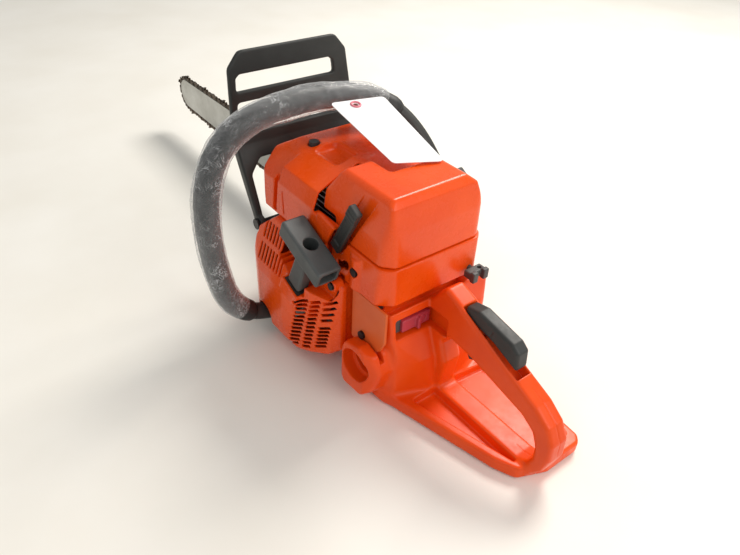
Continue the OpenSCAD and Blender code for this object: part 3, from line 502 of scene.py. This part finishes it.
def cylinderCover(c):
    b = Blank((-96, -82, 152), (94, 98, 258), c["step"])
    side = b.side([(-91.5, 140), (-91.5, 246), (-30, 250), (64, 242), (86, 226), (84, 200), (70, 172),
                   (60, 140)], 3)
    cross = b.front([(-77, 140), (-72, 205), (-60, 232), (-34, 246), (22, 248), (52, 238), (78, 226),
                     (85, 207), (88.5, 140)], 2)
    plan = b.plan([(-91.5, -76), (50, -76), (70, -60), (84, -20), (86, 40), (76, 80), (66, 90),
                   (-91.5, 90)], 5)
    outer = joinIn(joinIn(side, cross, c["edge"]), plan, c["edge"])
    # the roof falls away in front of the raised block, and a hollow lies beside it
    ahead = joinIn(b.front([(100, 196), (85, 208), (50, 242), (50, 280), (110, 280)]), 37 - b.gx, 1)
    outer = cutOut(outer, ahead, 2)
    basin = b.box((-20, 12, 238), (25, 44, 262), edge=7)
    outer = cutOut(outer, basin, 3)
    field = cutOut(outer, np.maximum(outer + c["wall"], -b.box((30, 72, 160), (52, 90, 216))))
    field = joinIn(field, 158 - b.gz, 1.0)
    behind = np.minimum(b.box((-99, 23.5, 140), (-35.5, 77, 262)), b.box((-99, 70, 204), (-35.5, 99, 262)))
    behind = np.minimum(behind, b.box((-99, 70, 140), (-57, 99, 262)))
    behind = np.minimum(behind, b.box((-99, -99, 140), (-59.5, 99, 188)))
    behind = np.minimum(behind, b.box((-99, -99, 140), (-59.5, -60, 262)))
    field = cutOut(field, behind, 0.8)
    # wing and ledge that run back to the left latch
    wing = joinIn(b.side([(-45, 166), (-45, 208.5), (-52, 208.5), (-76.5, 204.5), (-61, 176), (-61, 166)],
                         2),
                  np.abs(b.gy - 83.2) - 2.6, 1.5)
    field = joinOut(field, wing, 1.5)
    field = joinOut(field, b.box((-75.5, 75.6, 200), (-35, 84, 203.5), edge=0.6), 1.0)
    field = cutOut(field, b.rod("z", (38, 34), 7.2, 220, 262), 1.0)
    field = cutOut(field, b.box((58, -60, 130), (100, 60, 216)), 1.0)
    # deep groove and thin slot in the left wall
    groove = joinIn(b.side([(38, 216), (45.5, 214), (49, 168), (42, 166)], 1.5), 78.5 - b.gy, 0.5)
    field = cutOut(field, groove, 0.8)
    field = cutOut(field, b.box((-1.0, 84.2, 173), (1.0, 100, 201), -8), 0.3)
    field = cutOut(field, b.box((-60, 40, 130), (100, 99, 165)), 0.6)
    return mouldPiece("cylinderCoverShell", b, field, "coverNylon", "saw", ["cylinder_cover"])


cylinderCover(hood)


# starter housing: bulged shell with two grilles and a pocket for the grip
gripBase, gripTilt = (-33, 104, 113), 22
starter = {"step": 0.8, "wall": 3.0, "edge": 3.5}


def slotColumn(b, top, bottom, count, length, height):
    field = None
    for i in range(count):
        t = i / (count - 1)
        at = (top[0] + (bottom[0] - top[0]) * t, 0, top[1] + (bottom[1] - top[1]) * t)
        slot = b.box((-length / 2, 88, -height / 2), (length / 2, 130, height / 2), -29, at)
        field = slot if field is None else np.minimum(field, slot)
    return field


def starterHousing(c):
    b = Blank((-102, 44, 2), (80, 122, 170), c["step"])
    side = b.side([(-98, 46), (-98, 136), (-92, 139.3), (-66, 142), (-40, 162), (36, 164), (64, 140),
                   (75, 96), (73, 45), (58, 18), (36, 8), (-20, 8), (-84, 34)], 4)
    cross = b.front([(30, 0), (100, 5), (114, 18), (118, 50), (116, 92), (92, 162), (84, 168), (30, 168)], 4)
    plan = b.plan([(-98, 30), (-98, 86, 2), (-88, 97), (-60, 107), (-10, 116), (44, 117), (64, 108),
                   (75, 90), (75, 30)], 4)
    outer = joinIn(joinIn(side, cross, c["edge"]), plan, c["edge"])
    collar = b.box((-17, -12, -24), (17, 13, -2.5), gripTilt, gripBase, 1.5)
    outer = joinOut(outer, collar, 4)
    # fine recessed line work beside the guide, and the long fold that runs down to the lower grille
    pad = joinIn(b.box((23, 4, -40), (44, 30, -6), gripTilt, gripBase, 1.0), outer + 1.0, 0)
    outer = np.maximum(outer, -np.maximum(pad, -(outer + 1.0)))
    inner = np.maximum(outer + c["wall"], 47 - b.gy)
    inner = np.maximum(inner,
                       -b.box((-46, 86.3, -25), (46, 130, 80), gripTilt, (gripBase[0], 0, gripBase[2])))
    inner = np.maximum(inner, -b.rod("y", (0, 85), 8, 74.5, 120))
    field = cutOut(outer, inner)
    field = joinIn(field, 48 - b.gy, 0.5)
    pocket = b.box((-50, 88.6, -2.5), (46.5, 140, 90), gripTilt, (gripBase[0], 0, gripBase[2]), 2)
    # the pocket stops above the small grille, and the rear screw keeps its boss
    pocket = joinIn(pocket, np.minimum(117 - b.gz, -50 - b.gx), 2)
    field = cutOut(field, pocket, 1.0)
    field = joinOut(field, b.rod("y", (-87, 138), 6.8, 82, 95), 1.5)
    for top, bottom, count, length in (((-48, 98), (-29, 20), 12, 23), ((-67.5, 106), (-52, 29), 12, 17),
                                       ((-85.5, 113), (-81.5, 86), 4, 18), ((-79.5, 73), (-74, 42), 6, 19)):
        field = cutOut(field, slotColumn(b, top, bottom, count, length, 3.6), 0.4)
    for i in range(8):
        for z in (104, 132):
            field = cutOut(field, b.box((-2 + i * 7, 80, z), (1.6 + i * 7, 130, z + 22)), 0.4)
    field = cutOut(field, b.box((-14.2, -9, -21.3), (14.2, 9.7, 4), gripTilt, gripBase), 0.3)
    field = cutOut(field, b.rod("y", (37, 26), 16, 47, 130), 1.2)
    field = cutOut(field, b.box((21, 47, -10), (53, 130, 26)), 1.2)
    field = cutOut(field, b.rod("y", (-87, 138), 4.8, 94, 130), 0.5)
    field = cutOut(field, b.rod("y", (74, 135), 11, 84, 130), 0.8)
    field = cutOut(field, b.box((-130, 20, -10), (-95.3, 80.4, 190)))
    field = cutOut(field, b.box((-130, 20, 139.5), (-59, 80.8, 190)))
    return mouldPiece("starterShell", b, field, "coverNylon", "saw", ["starter_housing"])


starterHousing(starter)


# tank and rear handle: one moulding
tank = {"step": 1.0, "grip": 13.3, "edge": 6.0}


def tankHandle(c):
    b = Blank((-352, -110, -2), (-74, 102, 166), c["step"])
    top = b.side([(-160, 4), (-108, 4), (-100, 12), (-100, 66), (-112, 80), (-134, 88), (-140, 98),
                  (-142, 131), (-159, 131), (-163, 98), (-178, 62), (-184, 20)], 3)
    around = b.plan([(-100, -78), (-160, -78), (-172, -60), (-184, -30), (-184, 22), (-168, 64), (-150, 72),
                     (-100, 72)], 8)
    block = joinIn(joinIn(top, around, 4), np.maximum(-b.gz, np.abs(b.gy) - 78), 3)
    # filler boss, its lip and neck
    boss = joinIn(b.side([(-158, 28), (-146, 17), (-116, 17), (-108, 26), (-108, 64), (-116, 80), (-140, 86),
                          (-158, 80), (-167, 58)], 8),
                  b.plan([(-108, 40), (-108, 98), (-150, 96), (-167, 84), (-179, 58), (-179, 40)], 8), 4)
    boss = cutOut(boss, b.box((-190, 75, 70), (-90, 80.5, 110)), 1)
    body = joinOut(block, boss, 5)
    # foot plate with a hollow on either side of the handle
    foot = joinIn(b.plan([(-338, -12), (-324, 22), (-300, 33), (-160, 69), (-110, 72), (-110, -78),
                          (-200, -78), (-330, -68), (-338, -60)], 10),
                  np.maximum(0.3 - b.gz, b.gz - 17), 4)
    foot = cutOut(foot, joinIn(b.plan([(-314, 17), (-186, 50), (-186, 13), (-314, 13)], 5), 7 - b.gz, 4), 3)
    foot = cutOut(foot,
                  joinIn(b.plan([(-318, -13), (-186, -13), (-190, -66), (-322, -58)], 5), 7 - b.gz, 4), 3)
    # the handle's closed loop, its edges rounded for the hand
    loop = b.side([(-156, 2), (-158, 130), (-172, 150), (-180, 159), (-204, 150), (-284, 114), (-319, 99),
                   (-338, 85), (-348, 67), (-349, 45), (-343, 25), (-331, 7), (-319, 2)], 6)
    hole = b.side([(-194, 60), (-184, 86), (-194, 99), (-230, 95), (-305, 77), (-321, 67), (-328, 52),
                   (-329, 35), (-323, 22), (-311, 17), (-188, 17)], 9)
    rail = joinIn(np.maximum(loop, -hole), np.abs(b.gy) - c["grip"], c["edge"])
    body = joinOut(joinOut(body, foot, 8), rail, 4)
    # moulding line along the middle of the loop's rear
    body = np.maximum(body,
                      -np.maximum(np.abs(b.gy) - 0.35, np.maximum(np.abs(body + 0.2) - 0.45, b.gx + 300)))
    lug = joinOut(b.box((-112, -106, 84), (-78.5, -78, 112), edge=3),
                  b.box((-112, -106, 50), (-100, -70, 112), edge=3), 4)
    body = joinOut(body, lug, 3)
    # front wall of the trench under the filter housing
    body = joinOut(body, b.box((-147, -40, 100), (-142, 66, 138.5), edge=1), 1)
    cutters = [
        (b.box((-150, -60, 14), (-106, 50, 64)), 0),
        (b.rod("y", (-134, 56), 17, 40, 120), 1.0), (b.rod("y", (-134, 56), 21, 82, 120), 1.2),
        (b.box((-190, 4, 96), (-152, 61, 121), edge=2), 1.2),
        (b.box((-156, -40, 124), (-146, 66, 145)), 0.6),
        (joinIn(b.side([(-242, 90), (-232, 122), (-200, 126), (-189, 108), (-192, 84), (-236, 82)], 4),
                np.abs(b.gy) - 8, 0), 0.8),
        (joinIn(b.side([(-205, 165), (-205, 134), (-289, 96), (-289, 135)], 1), np.abs(b.gy) - 9.2, 0), 0.8),
    ]
    for cutter, k in cutters:
        body = cutOut(body, cutter, k)
    body = np.maximum(body, 0.2 - b.gz)
    return mouldPiece("tankAndRearHandle", b, body, "tankNylon", "saw", ["tank_handle"])


tankHandle(tank)


# panel over the carburettor, held by one screw
panel = {"step": 0.8, "middle": 77.25, "thick": 3.5, "edge": 1.2, "screw": (-125.5, 87.5), "hole": 2.75}


def sidePanel(c):
    b = Blank((-168, 73, 66), (-92, 81, 146), c["step"])
    field = joinIn(b.side([(-164, 140.7, 2), (-164, 100), (-156, 84), (-144, 75), (-104.5, 71, 3),
                           (-104.5, 140.7, 2)], 9),
                   np.abs(b.gy - c["middle"]) - c["thick"] / 2, c["edge"])
    field = cutOut(field, b.rod("y", c["screw"], c["hole"]))
    # painted shade: the panel takes the browner copy of the orange nylon
    return mouldPiece("carburettorPanel", b, field, "panelShadedNylon", "saw", ["side_panel"])


sidePanel(panel)


# clutch cover on the bar side
clutch = {"step": 1.0, "axis": (0, 85), "drum": 52, "wall": 3, "edge": 3, "nutsAt": (74, 104),
          "nutHole": 4.2}


def clutchCover(c):
    b = Blank((-56, -110, 28), (124, -56, 144), c["step"])
    line = [(-44, 34), (60, 34), (118, 42), (118, 127), (64, 136), (-20, 139), (-46, 122)]
    plate = joinIn(b.side(line, 10), np.maximum(-76 - b.gy, b.gy + 58.5), c["edge"])
    drum = joinIn(b.rod("y", c["axis"], c["drum"]), np.maximum(-106 - b.gy, b.gy + 58.5), 6)
    outer = joinOut(plate, drum, 8)
    inner = np.minimum(b.rod("y", c["axis"], c["drum"] - c["wall"], -103, -50),
                       joinIn(b.side([(-41, 37), (60, 37), (119, 45), (119, 124), (63, 133), (-20, 136),
                                      (-43, 120)], 8),
                              np.maximum(-73 - b.gy, b.gy + 50), 0))
    inner = np.maximum(inner, -b.box((58, -73, 68), (114, -65.3, 102)))
    field = cutOut(outer, inner)
    for x in c["nutsAt"]:
        field = cutOut(field, b.rod("y", (x, c["axis"][1]), c["nutHole"]))
    for a in range(-60, 61, 30):
        field = cutOut(field, b.box((-40, -112, -3), (-18, -101, 3), -a, (0, 0, 85)), 0.8)
    return mouldPiece("clutchCoverShell", b, field, "coverNylon", "saw", ["clutch_cover"])


clutchCover(clutch)


# hand guard: bent plate with two windows, swings forward about the long shaft
guard = {"step": 1.1, "edge": 3.0, "windowEdge": 2.0, "shaft": (74, 135), "eyesAt": (-80.5, 91.5), "eye": 10,
         "hole": 4.1}


def handGuard(c):
    b = Blank((60, -88, 120), (136, 101, 338), c["step"])
    line = b.side([(68, 128), (80, 126), (123, 212), (127, 250), (131, 333), (125, 334), (120, 252),
                   (113, 224)], 2.4)
    face = b.front([(-84, 110), (-82, 232), (-71, 314), (-55, 333), (78, 333), (94, 314), (97, 232),
                    (95, 110)], 12)
    field = joinIn(line, face, c["edge"])
    field = cutOut(field, b.front([(-77, 90), (-77, 196), (-60, 206), (70, 206), (86, 190), (88, 90)], 8),
                   c["windowEdge"])
    field = cutOut(field, b.front([(-64, 236), (-56, 273), (86, 273), (88, 236)], 5), c["windowEdge"])
    field = cutOut(field,
                   b.front([(-52, 286), (-50, 302), (-45, 306), (80, 306), (85, 302), (86, 286)], 4),
                   c["windowEdge"])
    for y in c["eyesAt"]:
        field = joinOut(field, b.rod("y", c["shaft"], c["eye"], y - 3.5, y + 3.5), 1)
    field = cutOut(field, b.rod("y", c["shaft"], c["hole"]))
    return mouldPiece("handGuardPlate", b, field, "charcoalNylon", "guard", ["hand_guard"])


handGuard(guard)


# throttle lock: long lever on top of the rear handle
lockLever = {"step": 0.7, "width": 17.0, "edge": 4.0}


def throttleLock(c):
    b = Blank((-290, -11, 112), (-203, 11, 160), c["step"])
    field = joinIn(b.side([(-208, 139, 2), (-208, 151, 2), (-226, 155), (-274, 146), (-283, 139),
                           (-285, 117, 3), (-250, 131)], 5), np.abs(b.gy) - c["width"] / 2, c["edge"])
    # thin mould mark on its flank
    field = cutOut(field, b.box((-1, 7.8, -4), (1, 12, 4), 20, (-246, 0, 141), 0.4), 0.3)
    return mouldPiece("throttleLockLever", b, field, "charcoalNylon", "lock", ["throttle_lock"])


throttleLock(lockLever)


# starter grip: hollow cross bar on a tapered stem
pullGrip = {"step": 0.8, "edge": 3.0, "stem": 12.2, "taper": 0.04, "well": 8.5, "ropeHole": 2.5}


def starterGrip(c):
    b = Blank((-110, 84, 108), (22, 124, 206), c["step"])
    bar = b.box((-41, -15, 53.5), (39, 15, 76), gripTilt, gripBase, c["edge"])
    cosine, sine = math.cos(math.radians(gripTilt)), math.sin(math.radians(gripTilt))
    dx, dz = b.gx - gripBase[0], b.gz - gripBase[2]
    u, w = dx * cosine + dz * sine, dz * cosine - dx * sine
    width = c["stem"] - c["taper"] * np.clip(w, 0, 56)
    stem = joinIn(np.abs(u) - width, np.maximum(np.abs(b.gy - 104.6) - 7.6, np.maximum(-w, w - 60)), 4)
    field = joinOut(stem, bar, 9)
    hollow = np.minimum(b.box((-60, -10.5, 57), (-14, 10.5, 72.5), gripTilt, gripBase, 3),
                        b.box((14, -10.5, 57), (60, 10.5, 72.5), gripTilt, gripBase, 3))
    field = cutOut(field, hollow, 1.0)
    fromRope = np.sqrt(u ** 2 + (b.gy - gripBase[1]) ** 2)
    field = cutOut(field, np.maximum(fromRope - c["well"], 54 - w), 1.0)
    field = cutOut(field, fromRope - c["ropeHole"])
    return mouldPiece("starterGripBar", b, field, "greyNylon", "pull_grip", ["starter_grip"])


starterGrip(pullGrip)


# latches: ribbed lever with a finger lip
latches = [
    {"name": "leftLatch", "side": 1, "face": 72, "body": "left_latch", "node": "latch_left"},
    {"name": "rightLatch", "side": -1, "face": 60, "body": "right_latch", "node": "latch_right"},
]
latchShape = {"step": 0.6, "edge": 2.0, "ribsAt": (66, 72), "rib": 0.9}


def latch(c, shape):
    def across(near, far):
        # distances out from the housing's face, as low and high y on this side
        return sorted(c["side"] * (c["face"] + v) for v in (near, far))

    def part(halfWidth, near, far, bottom, top, edge=0.0):
        low, high = across(near, far)
        return b.box((-halfWidth, low, bottom), (halfWidth, high, top), latchTilt, latchOrigin, edge)

    low, high = across(2, 14)
    b = Blank((-120, low, 168), (-58, high, 246), shape["step"])
    field = joinOut(part(8, 3, 10, 2.2, 62, shape["edge"]), part(8, 3, 12, 62, 78, shape["edge"]), 1.5)
    # hollow along its face, two ribs across the lip
    field = cutOut(field, part(5, 8.4, 14, 14, 56, 1.0), 0.5)
    for z in shape["ribsAt"]:
        field = cutOut(field, part(9, 11.0, 14, z - shape["rib"], z + shape["rib"]), 0.3)
    return mouldPiece(c["name"], b, field, "charcoalNylon", c["body"], [c["node"]])


for c in latches:
    latch(c, latchShape)


# choke knob: two-eared thumb piece on its rod
choke = {"step": 0.6, "rod": 3, "edge": 1.5, "earsAt": (-57, -41), "earWidth": 8}


def chokeKnob(c):
    b = Blank((-182, -62, 138), (-118, -28, 160), c["step"])
    field = b.rod("x", (-45, 149), c["rod"], -166, -120)
    plate = b.box((-172, -57, 144), (-161, -33, 153), edge=c["edge"])
    plate = cutOut(plate, b.rod("z", (-166.5, -51), 2.4), 0.4)
    field = joinOut(field, plate, c["edge"])
    for y in c["earsAt"]:
        ear = b.box((-177, y, 142), (-171, y + c["earWidth"], 155), edge=c["edge"])
        field = joinOut(field, ear, c["edge"])
    return mouldPiece("chokeKnobPiece", b, field, "greyNylon", "choke", ["choke_knob"])


chokeKnob(choke)


# stop switch: ribbed red slider on a grey end plate
stopShape = {"step": 0.5, "edge": 1.2, "button": (20, 107), "ring": 5.2, "dot": 4.2}


def stopSwitch(c):
    b = Blank((-167, 6, 94), (-149, 64, 126), c["step"])
    field = b.box((-159, 10, 99), (-153, 50, 115), edge=c["edge"])
    field = joinOut(field, b.box((-164, 27, 99), (-158, 31, 113), edge=c["edge"]), 1.5)
    field = cutOut(field, b.rod("x", c["button"], c["ring"], -170, -158.2), 0.4)
    field = joinOut(field, b.rod("x", c["button"], c["dot"], -159, -154), 0.2)
    mouldPiece("stopSlider", b, field, "redPlastic", "switch", ["stop_switch"])
    plate = b.box((-155, 49, 98.5), (-152.2, 61, 116), edge=0.6)
    mouldPiece("stopSliderPlate", b, plate, "greyNylon", "switch")


stopSwitch(stopShape)


# front handle, from the crankcase foot over the top to the bar side
handlePoints = [(36, 42.1, 20), (36, 50, 20), (36, 58, 20), (37, 80, 22), (38, 110, 26), (40, 138, 38),
                (43, 158, 62),
                (46, 167, 95), (49, 171, 135), (52, 171, 175), (54, 166, 212), (57, 152, 244),
                (59, 128, 268),
                (61, 95, 281), (61, 55, 286), (60, 15, 287), (56, -25, 283), (47, -60, 274), (30, -86, 257),
                (8, -102, 232), (-18, -110, 200), (-45, -110, 168), (-74, -102, 143), (-91, -93, 127),
                (-91, -93, 120), (-91, -93, 112.1)]
handle = {"tube": 11.0, "grip": 14.4, "ripple": 0.25, "sides": 32, "gripFrom": 28, "gripTo": 109}
film = {"inside": 14.9, "sides": 72, "from": 74, "to": 244, "gather": 9, "loose": 3.4, "fold": 1.2,
        "fine": 0.5}


def smoothLine(points, steps):
    p = [np.array(q, float) for q in points]
    out = []
    for i in range(len(p) - 1):
        a, b, c, d = p[max(i - 1, 0)], p[i], p[i + 1], p[min(i + 2, len(p) - 1)]
        for k in range(steps):
            t = k / steps
            out.append(0.5 * (2 * b + (c - a) * t + (2 * a - 5 * b + 4 * c - d) * t * t +
                              (3 * b - a - 3 * c + d) * t ** 3))
    out.append(p[-1])
    return out


def tubeAlong(line, radiusAt, sides, closed=True):
    # frames that don't twist along the line
    n = len(line)
    tangent = [line[min(i + 1, n - 1)] - line[max(i - 1, 0)] for i in range(n)]
    tangent = [t / np.linalg.norm(t) for t in tangent]
    u = np.cross(tangent[0], (1.0, 0.15, 0.1))
    points, faces = [], []
    for i in range(n):
        u = u - tangent[i] * (u @ tangent[i])
        u /= np.linalg.norm(u)
        v = np.cross(tangent[i], u)
        for k in range(sides):
            a = 2 * math.pi * k / sides
            points.append((line[i] + (u * math.cos(a) + v * math.sin(a)) * radiusAt(i, k)) * mm)
    for i in range(n - 1):
        for k in range(sides):
            a, b = i * sides + k, i * sides + (k + 1) % sides
            faces.append((a, b, b + sides, a + sides))
    if closed:
        faces.append(tuple(range(sides - 1, -1, -1)))
        faces.append(tuple((n - 1) * sides + k for k in range(sides)))
    return points, faces


def frontHandle(c):
    line = smoothLine(handlePoints, 6)
    gripLine = line[c["gripFrom"]:c["gripTo"]]

    def gripRadius(i, k):
        end = min(i, len(gripLine) - 1 - i)
        if end < 2:
            return c["tube"] + (0.1, 2.6)[end]
        return c["grip"] + c["ripple"] * math.sin(i * 2.2)

    points, faces = tubeAlong(line, lambda i, k: c["tube"], c["sides"])
    addPiece("frontHandleTube", points, faces, "charcoalNylon", "saw", ["front_handle"])
    points, faces = tubeAlong(gripLine, gripRadius, c["sides"])
    addPiece("frontHandleGrip", points, faces, "gripRubber", "saw", ["handle_grip"])


frontHandle(handle)
print("front handle drawn")


# loose clear film round the grip: a thin crumpled tube, gathered at both ends
def noiseAt(p, scale, seed):
    return noise.noise(Vector((p[0] * scale + seed, p[1] * scale - seed, p[2] * scale + 2.7 * seed)))


def gripFilm(c):
    path = smoothLine(handlePoints, 14)[c["from"]:c["to"]]
    count = len(path)

    def radiusAt(i, k):
        a = 2 * math.pi * k / c["sides"]
        p = np.array(path[i]) / 100 + np.array((math.cos(a), math.sin(a), 0.4 * math.cos(a))) * 0.3
        wide = 0.5 + 0.5 * noiseAt(p, 2.2, 3.1)
        fold = 1 - 2 * abs(noiseAt(p, 5.0, 7.7))
        fine = 1 - 2 * abs(noiseAt(p, 13.0, 1.3))
        ends = min(1.0, min(i, count - 1 - i) / c["gather"])
        crumple = 0.2 + c["loose"] * wide ** 2 + c["fold"] * fold * wide + c["fine"] * fine
        return c["inside"] + ends * crumple

    points, faces = tubeAlong(path, radiusAt, c["sides"], closed=False)
    return addPiece("looseFilm", points, faces, "clearFilm", "saw", ["grip_film"])


gripFilm(film)


# blank swing tag: stiff card, cut corners, eyelet with a pink ring
tag = {"corner": (35, 0, 286), "lean": -9.4, "thick": 0.8}


def swingTag(c):
    corners = fillet([(3, 12), (-9, -57), (-145, -36), (-124, 18)], 6, 6)
    eye = (-12, -14)
    ring = [(eye[0] + 3.2 * math.cos(a), eye[1] + 3.2 * math.sin(a)) for a in
            (2 * math.pi * k / len(corners) for k in range(len(corners)))]
    a = math.radians(c["lean"])
    turn = lambda x, y, z: ((c["corner"][0] + x * math.cos(a) + z * math.sin(a)) * mm,
                            (c["corner"][1] + y) * mm,
                            (c["corner"][2] - x * math.sin(a) + z * math.cos(a)) * mm)
    # walk the ring in step with the outline
    start = min(range(len(ring)),
                key=lambda k: (ring[k][0] - corners[0][0]) ** 2 + (ring[k][1] - corners[0][1]) ** 2)
    pairs = zip(corners[-1:] + corners[:-1], corners)
    area = sum(p[0] * q[1] - q[0] * p[1] for p, q in pairs)
    step = 1 if area > 0 else -1
    ring = [ring[(start + step * k) % len(ring)] for k in range(len(ring))]
    n = len(corners)
    points = [turn(x, y, z) for z in (0.1, 0.1 + c["thick"]) for loop in (corners, ring) for x, y in loop]
    faces = []
    for i in range(n):
        j = (i + 1) % n
        faces += [(i, j, n + j, n + i), (2 * n + i, 3 * n + i, 3 * n + j, 2 * n + j),
                  (i, 2 * n + i, 2 * n + j, j), (n + i, n + j, 3 * n + j, 3 * n + i)]
    card = addPiece("swingTag", points, faces, "card", "saw", ["hang_tag"], smooth=False)
    loop = []
    for k in range(48):
        b = 2 * math.pi * k / 48
        loop.append(np.array(turn(eye[0] + 5.4 * math.cos(b), eye[1] + 5.4 * math.sin(b),
                                  c["thick"] + 0.5)) / mm)
    loop.append(loop[0])
    points, faces = tubeAlong(loop, lambda i, k: 1.3, 12, closed=False)
    addPiece("tagEyelet", points, faces, "pinkRing", "saw")
    return card


swingTag(tag)
print("film and tag made")


# saw chain: tie straps, cutters and drive links along the bar's edge
chain = {"driveLinks": 76, "pitch": 9.525, "middle": -63.0, "plate": 1.45, "height": 85.0,
         "rim": (0.0, 21.22), "rails": [(61.0, 31.2), (361.0, 35.2)], "nose": (640.86, 30.32)}


def rivetPlaces(c):
    # round the sprocket, along the upper rail, round the nose and back, evenly spaced
    z = c["height"]
    ring = []
    for k in range(41):
        a = math.pi * (0.5 + k / 40)
        ring.append((c["rim"][0] + c["rim"][1] * math.cos(a), z + c["rim"][1] * math.sin(a)))
    ring += [(x, z - h) for x, h in c["rails"]]
    for k in range(41):
        a = math.pi * (k / 40 - 0.5)
        ring.append((c["nose"][0] + c["nose"][1] * math.cos(a), z + c["nose"][1] * math.sin(a)))
    ring += [(x, z + h) for x, h in reversed(c["rails"])]
    ring = np.array(ring + ring[:1])
    run = np.concatenate([[0], np.cumsum(np.hypot(*np.diff(ring, axis=0).T))])
    at = np.linspace(0, run[-1], 2 * c["driveLinks"], endpoint=False)
    return np.stack([np.interp(at, run, ring[:, 0]), np.interp(at, run, ring[:, 1])], 1)


def plateMesh(outline, a, b, y0, y1, points, faces, bevel=0.25):
    # outline in link space: u from rivet a to rivet b, w away from the bar
    along = (b - a) / np.linalg.norm(b - a)
    out = np.array((along[1], -along[0]))
    middle = (a + b) / 2
    loops = ((y0, -bevel), (y0 + bevel, 0), (y1 - bevel, 0), (y1, -bevel))
    outline = np.array(outline)
    centre = outline.mean(axis=0)
    base = len(points)
    n = len(outline)
    for y, grow in loops:
        d = outline - centre
        shaped = outline + d / np.linalg.norm(d, axis=1)[:, None] * grow
        for u, w in shaped:
            p = middle + along * u + out * w
            points.append((p[0] * mm, y * mm, p[1] * mm))
    for r in range(len(loops) - 1):
        for i in range(n):
            j = (i + 1) % n
            faces.append((base + r * n + i, base + r * n + j, base + (r + 1) * n + j,
                          base + (r + 1) * n + i))
    faces.append(tuple(base + i for i in range(n - 1, -1, -1)))
    faces.append(tuple(base + (len(loops) - 1) * n + i for i in range(n)))


def sawChain(c):
    h = c["pitch"] / 2
    strap = [(-h - 3.4, 0), (-h - 2.6, 2.4), (-h, 3.4), (-1.2, 2.5), (1.2, 2.5), (h, 3.4), (h + 2.6, 2.4),
             (h + 3.4, 0), (h + 2.6, -2.6), (h, -3.4), (-h, -3.4), (-h - 2.6, -2.6)]
    drive = [(-h - 3.0, 0.4), (-h, 3.1), (h, 3.1), (h + 3.0, 0.4), (h + 0.5, -3.4), (2.0, -9.0),
             (-1.0, -9.4), (-h + 0.6, -4.0)]
    gauge = [(h - 3.2, 2.2), (h - 1.6, 4.6), (h + 2.0, 4.9), (h + 3.6, 1.2), (h + 3.2, -2.6), (h, -3.4),
             (-h, -3.4), (-h - 3.2, -1.0), (-h - 3.6, 5.0), (-h + 2.6, 5.2), (-h + 3.8, 2.4), (0, 1.4)]
    roof = [(-h - 3.6, 4.2), (-h + 2.8, 4.9), (-h + 2.9, 5.6), (-h - 3.6, 4.9)]
    pin = [(1.5 * math.cos(2 * math.pi * k / 10), 1.5 * math.sin(2 * math.pi * k / 10)) for k in range(10)]
    places = rivetPlaces(c)
    n = len(places)
    y, t = c["middle"], c["plate"]
    points, faces = [], []
    for i in range(0, n, 2):
        a, b, d = places[i], places[(i + 1) % n], places[(i + 2) % n]
        plateMesh(drive, a, b, y - t / 2, y + t / 2, points, faces)
        left, right = ((gauge, strap), (strap, strap), (strap, gauge), (strap, strap))[(i // 2) % 4]
        plateMesh(left, b, d, y + t / 2 + 0.05, y + 1.5 * t + 0.05, points, faces)
        plateMesh(right, b, d, y - 1.5 * t - 0.05, y - t / 2 - 0.05, points, faces)
        if left is gauge:
            plateMesh(roof, b, d, y - 1.0, y + 3.9, points, faces, 0.15)
        if right is gauge:
            plateMesh(roof, b, d, y - 3.9, y + 1.0, points, faces, 0.15)
        for e in (a, b):
            plateMesh(pin, e - (0.5, 0), e + (0.5, 0), y - 1.5 * t - 0.55, y + 1.5 * t + 0.55, points,
                      faces, 0.3)
    return addPiece("sawChainLinks", points, faces, "oiledChain", nodeBody["saw_chain"], ["saw_chain"],
                    smooth=False)


sawChain(chain)
print("saw chain made")


# plain floor and studio light
studio = {"paperLight": "#F2F0EA", "paperDeep": "#ECE9E1", "drop": 0.0004, "sky": "#F7F6F2",
          "skyStrength": 0.54}


def floor(c):
    mesh = bpy.data.meshes.new("studioFloor")
    mesh.from_pydata([(-3, -5, 0), (6, -5, 0), (6, 4, 0), (-3, 4, 0)], [], [(0, 1, 2, 3)])
    mesh.materials.append(plain("floorPaper", c["paperLight"], c["paperDeep"], 0.6, 200.0, 0.02))
    ob = bpy.data.objects.new("studioFloor", mesh)
    bpy.context.scene.collection.objects.link(ob)
    ob.location.z = -c["drop"]


floor(studio)
lights = [
    {"name": "keyLight", "place": (0.35, -1.5, 1.9), "size": 0.9, "power": 46, "colour": "#FFF9F1"},
    {"name": "rearLight", "place": (-1.7, -0.5, 1.3), "size": 1.3, "power": 15, "colour": "#FFFDF8"},
    {"name": "windowLight", "place": (-0.9, 1.6, 1.5), "size": 0.7, "power": 4, "colour": "#F4F8FF"},
]


def studioLight(c):
    data = bpy.data.lights.new(c["name"], "AREA")
    data.size = c["size"]
    data.energy = c["power"]
    data.color = linear(c["colour"])[:3]
    ob = bpy.data.objects.new(c["name"], data)
    bpy.context.scene.collection.objects.link(ob)
    aim = Vector((0.0, 0.0, 0.1)) - Vector(c["place"])
    ob.matrix_world = Matrix.Translation(c["place"]) @ aim.to_track_quat("-Z", "Y").to_matrix().to_4x4()


for c in lights:
    studioLight(c)
sky = bpy.data.worlds.new("studio")
bpy.context.scene.world = sky
sky.use_nodes = True
sky.node_tree.nodes["Background"].inputs["Color"].default_value = linear(studio["sky"])
sky.node_tree.nodes["Background"].inputs["Strength"].default_value = studio["skyStrength"]
print("floor and lights set")
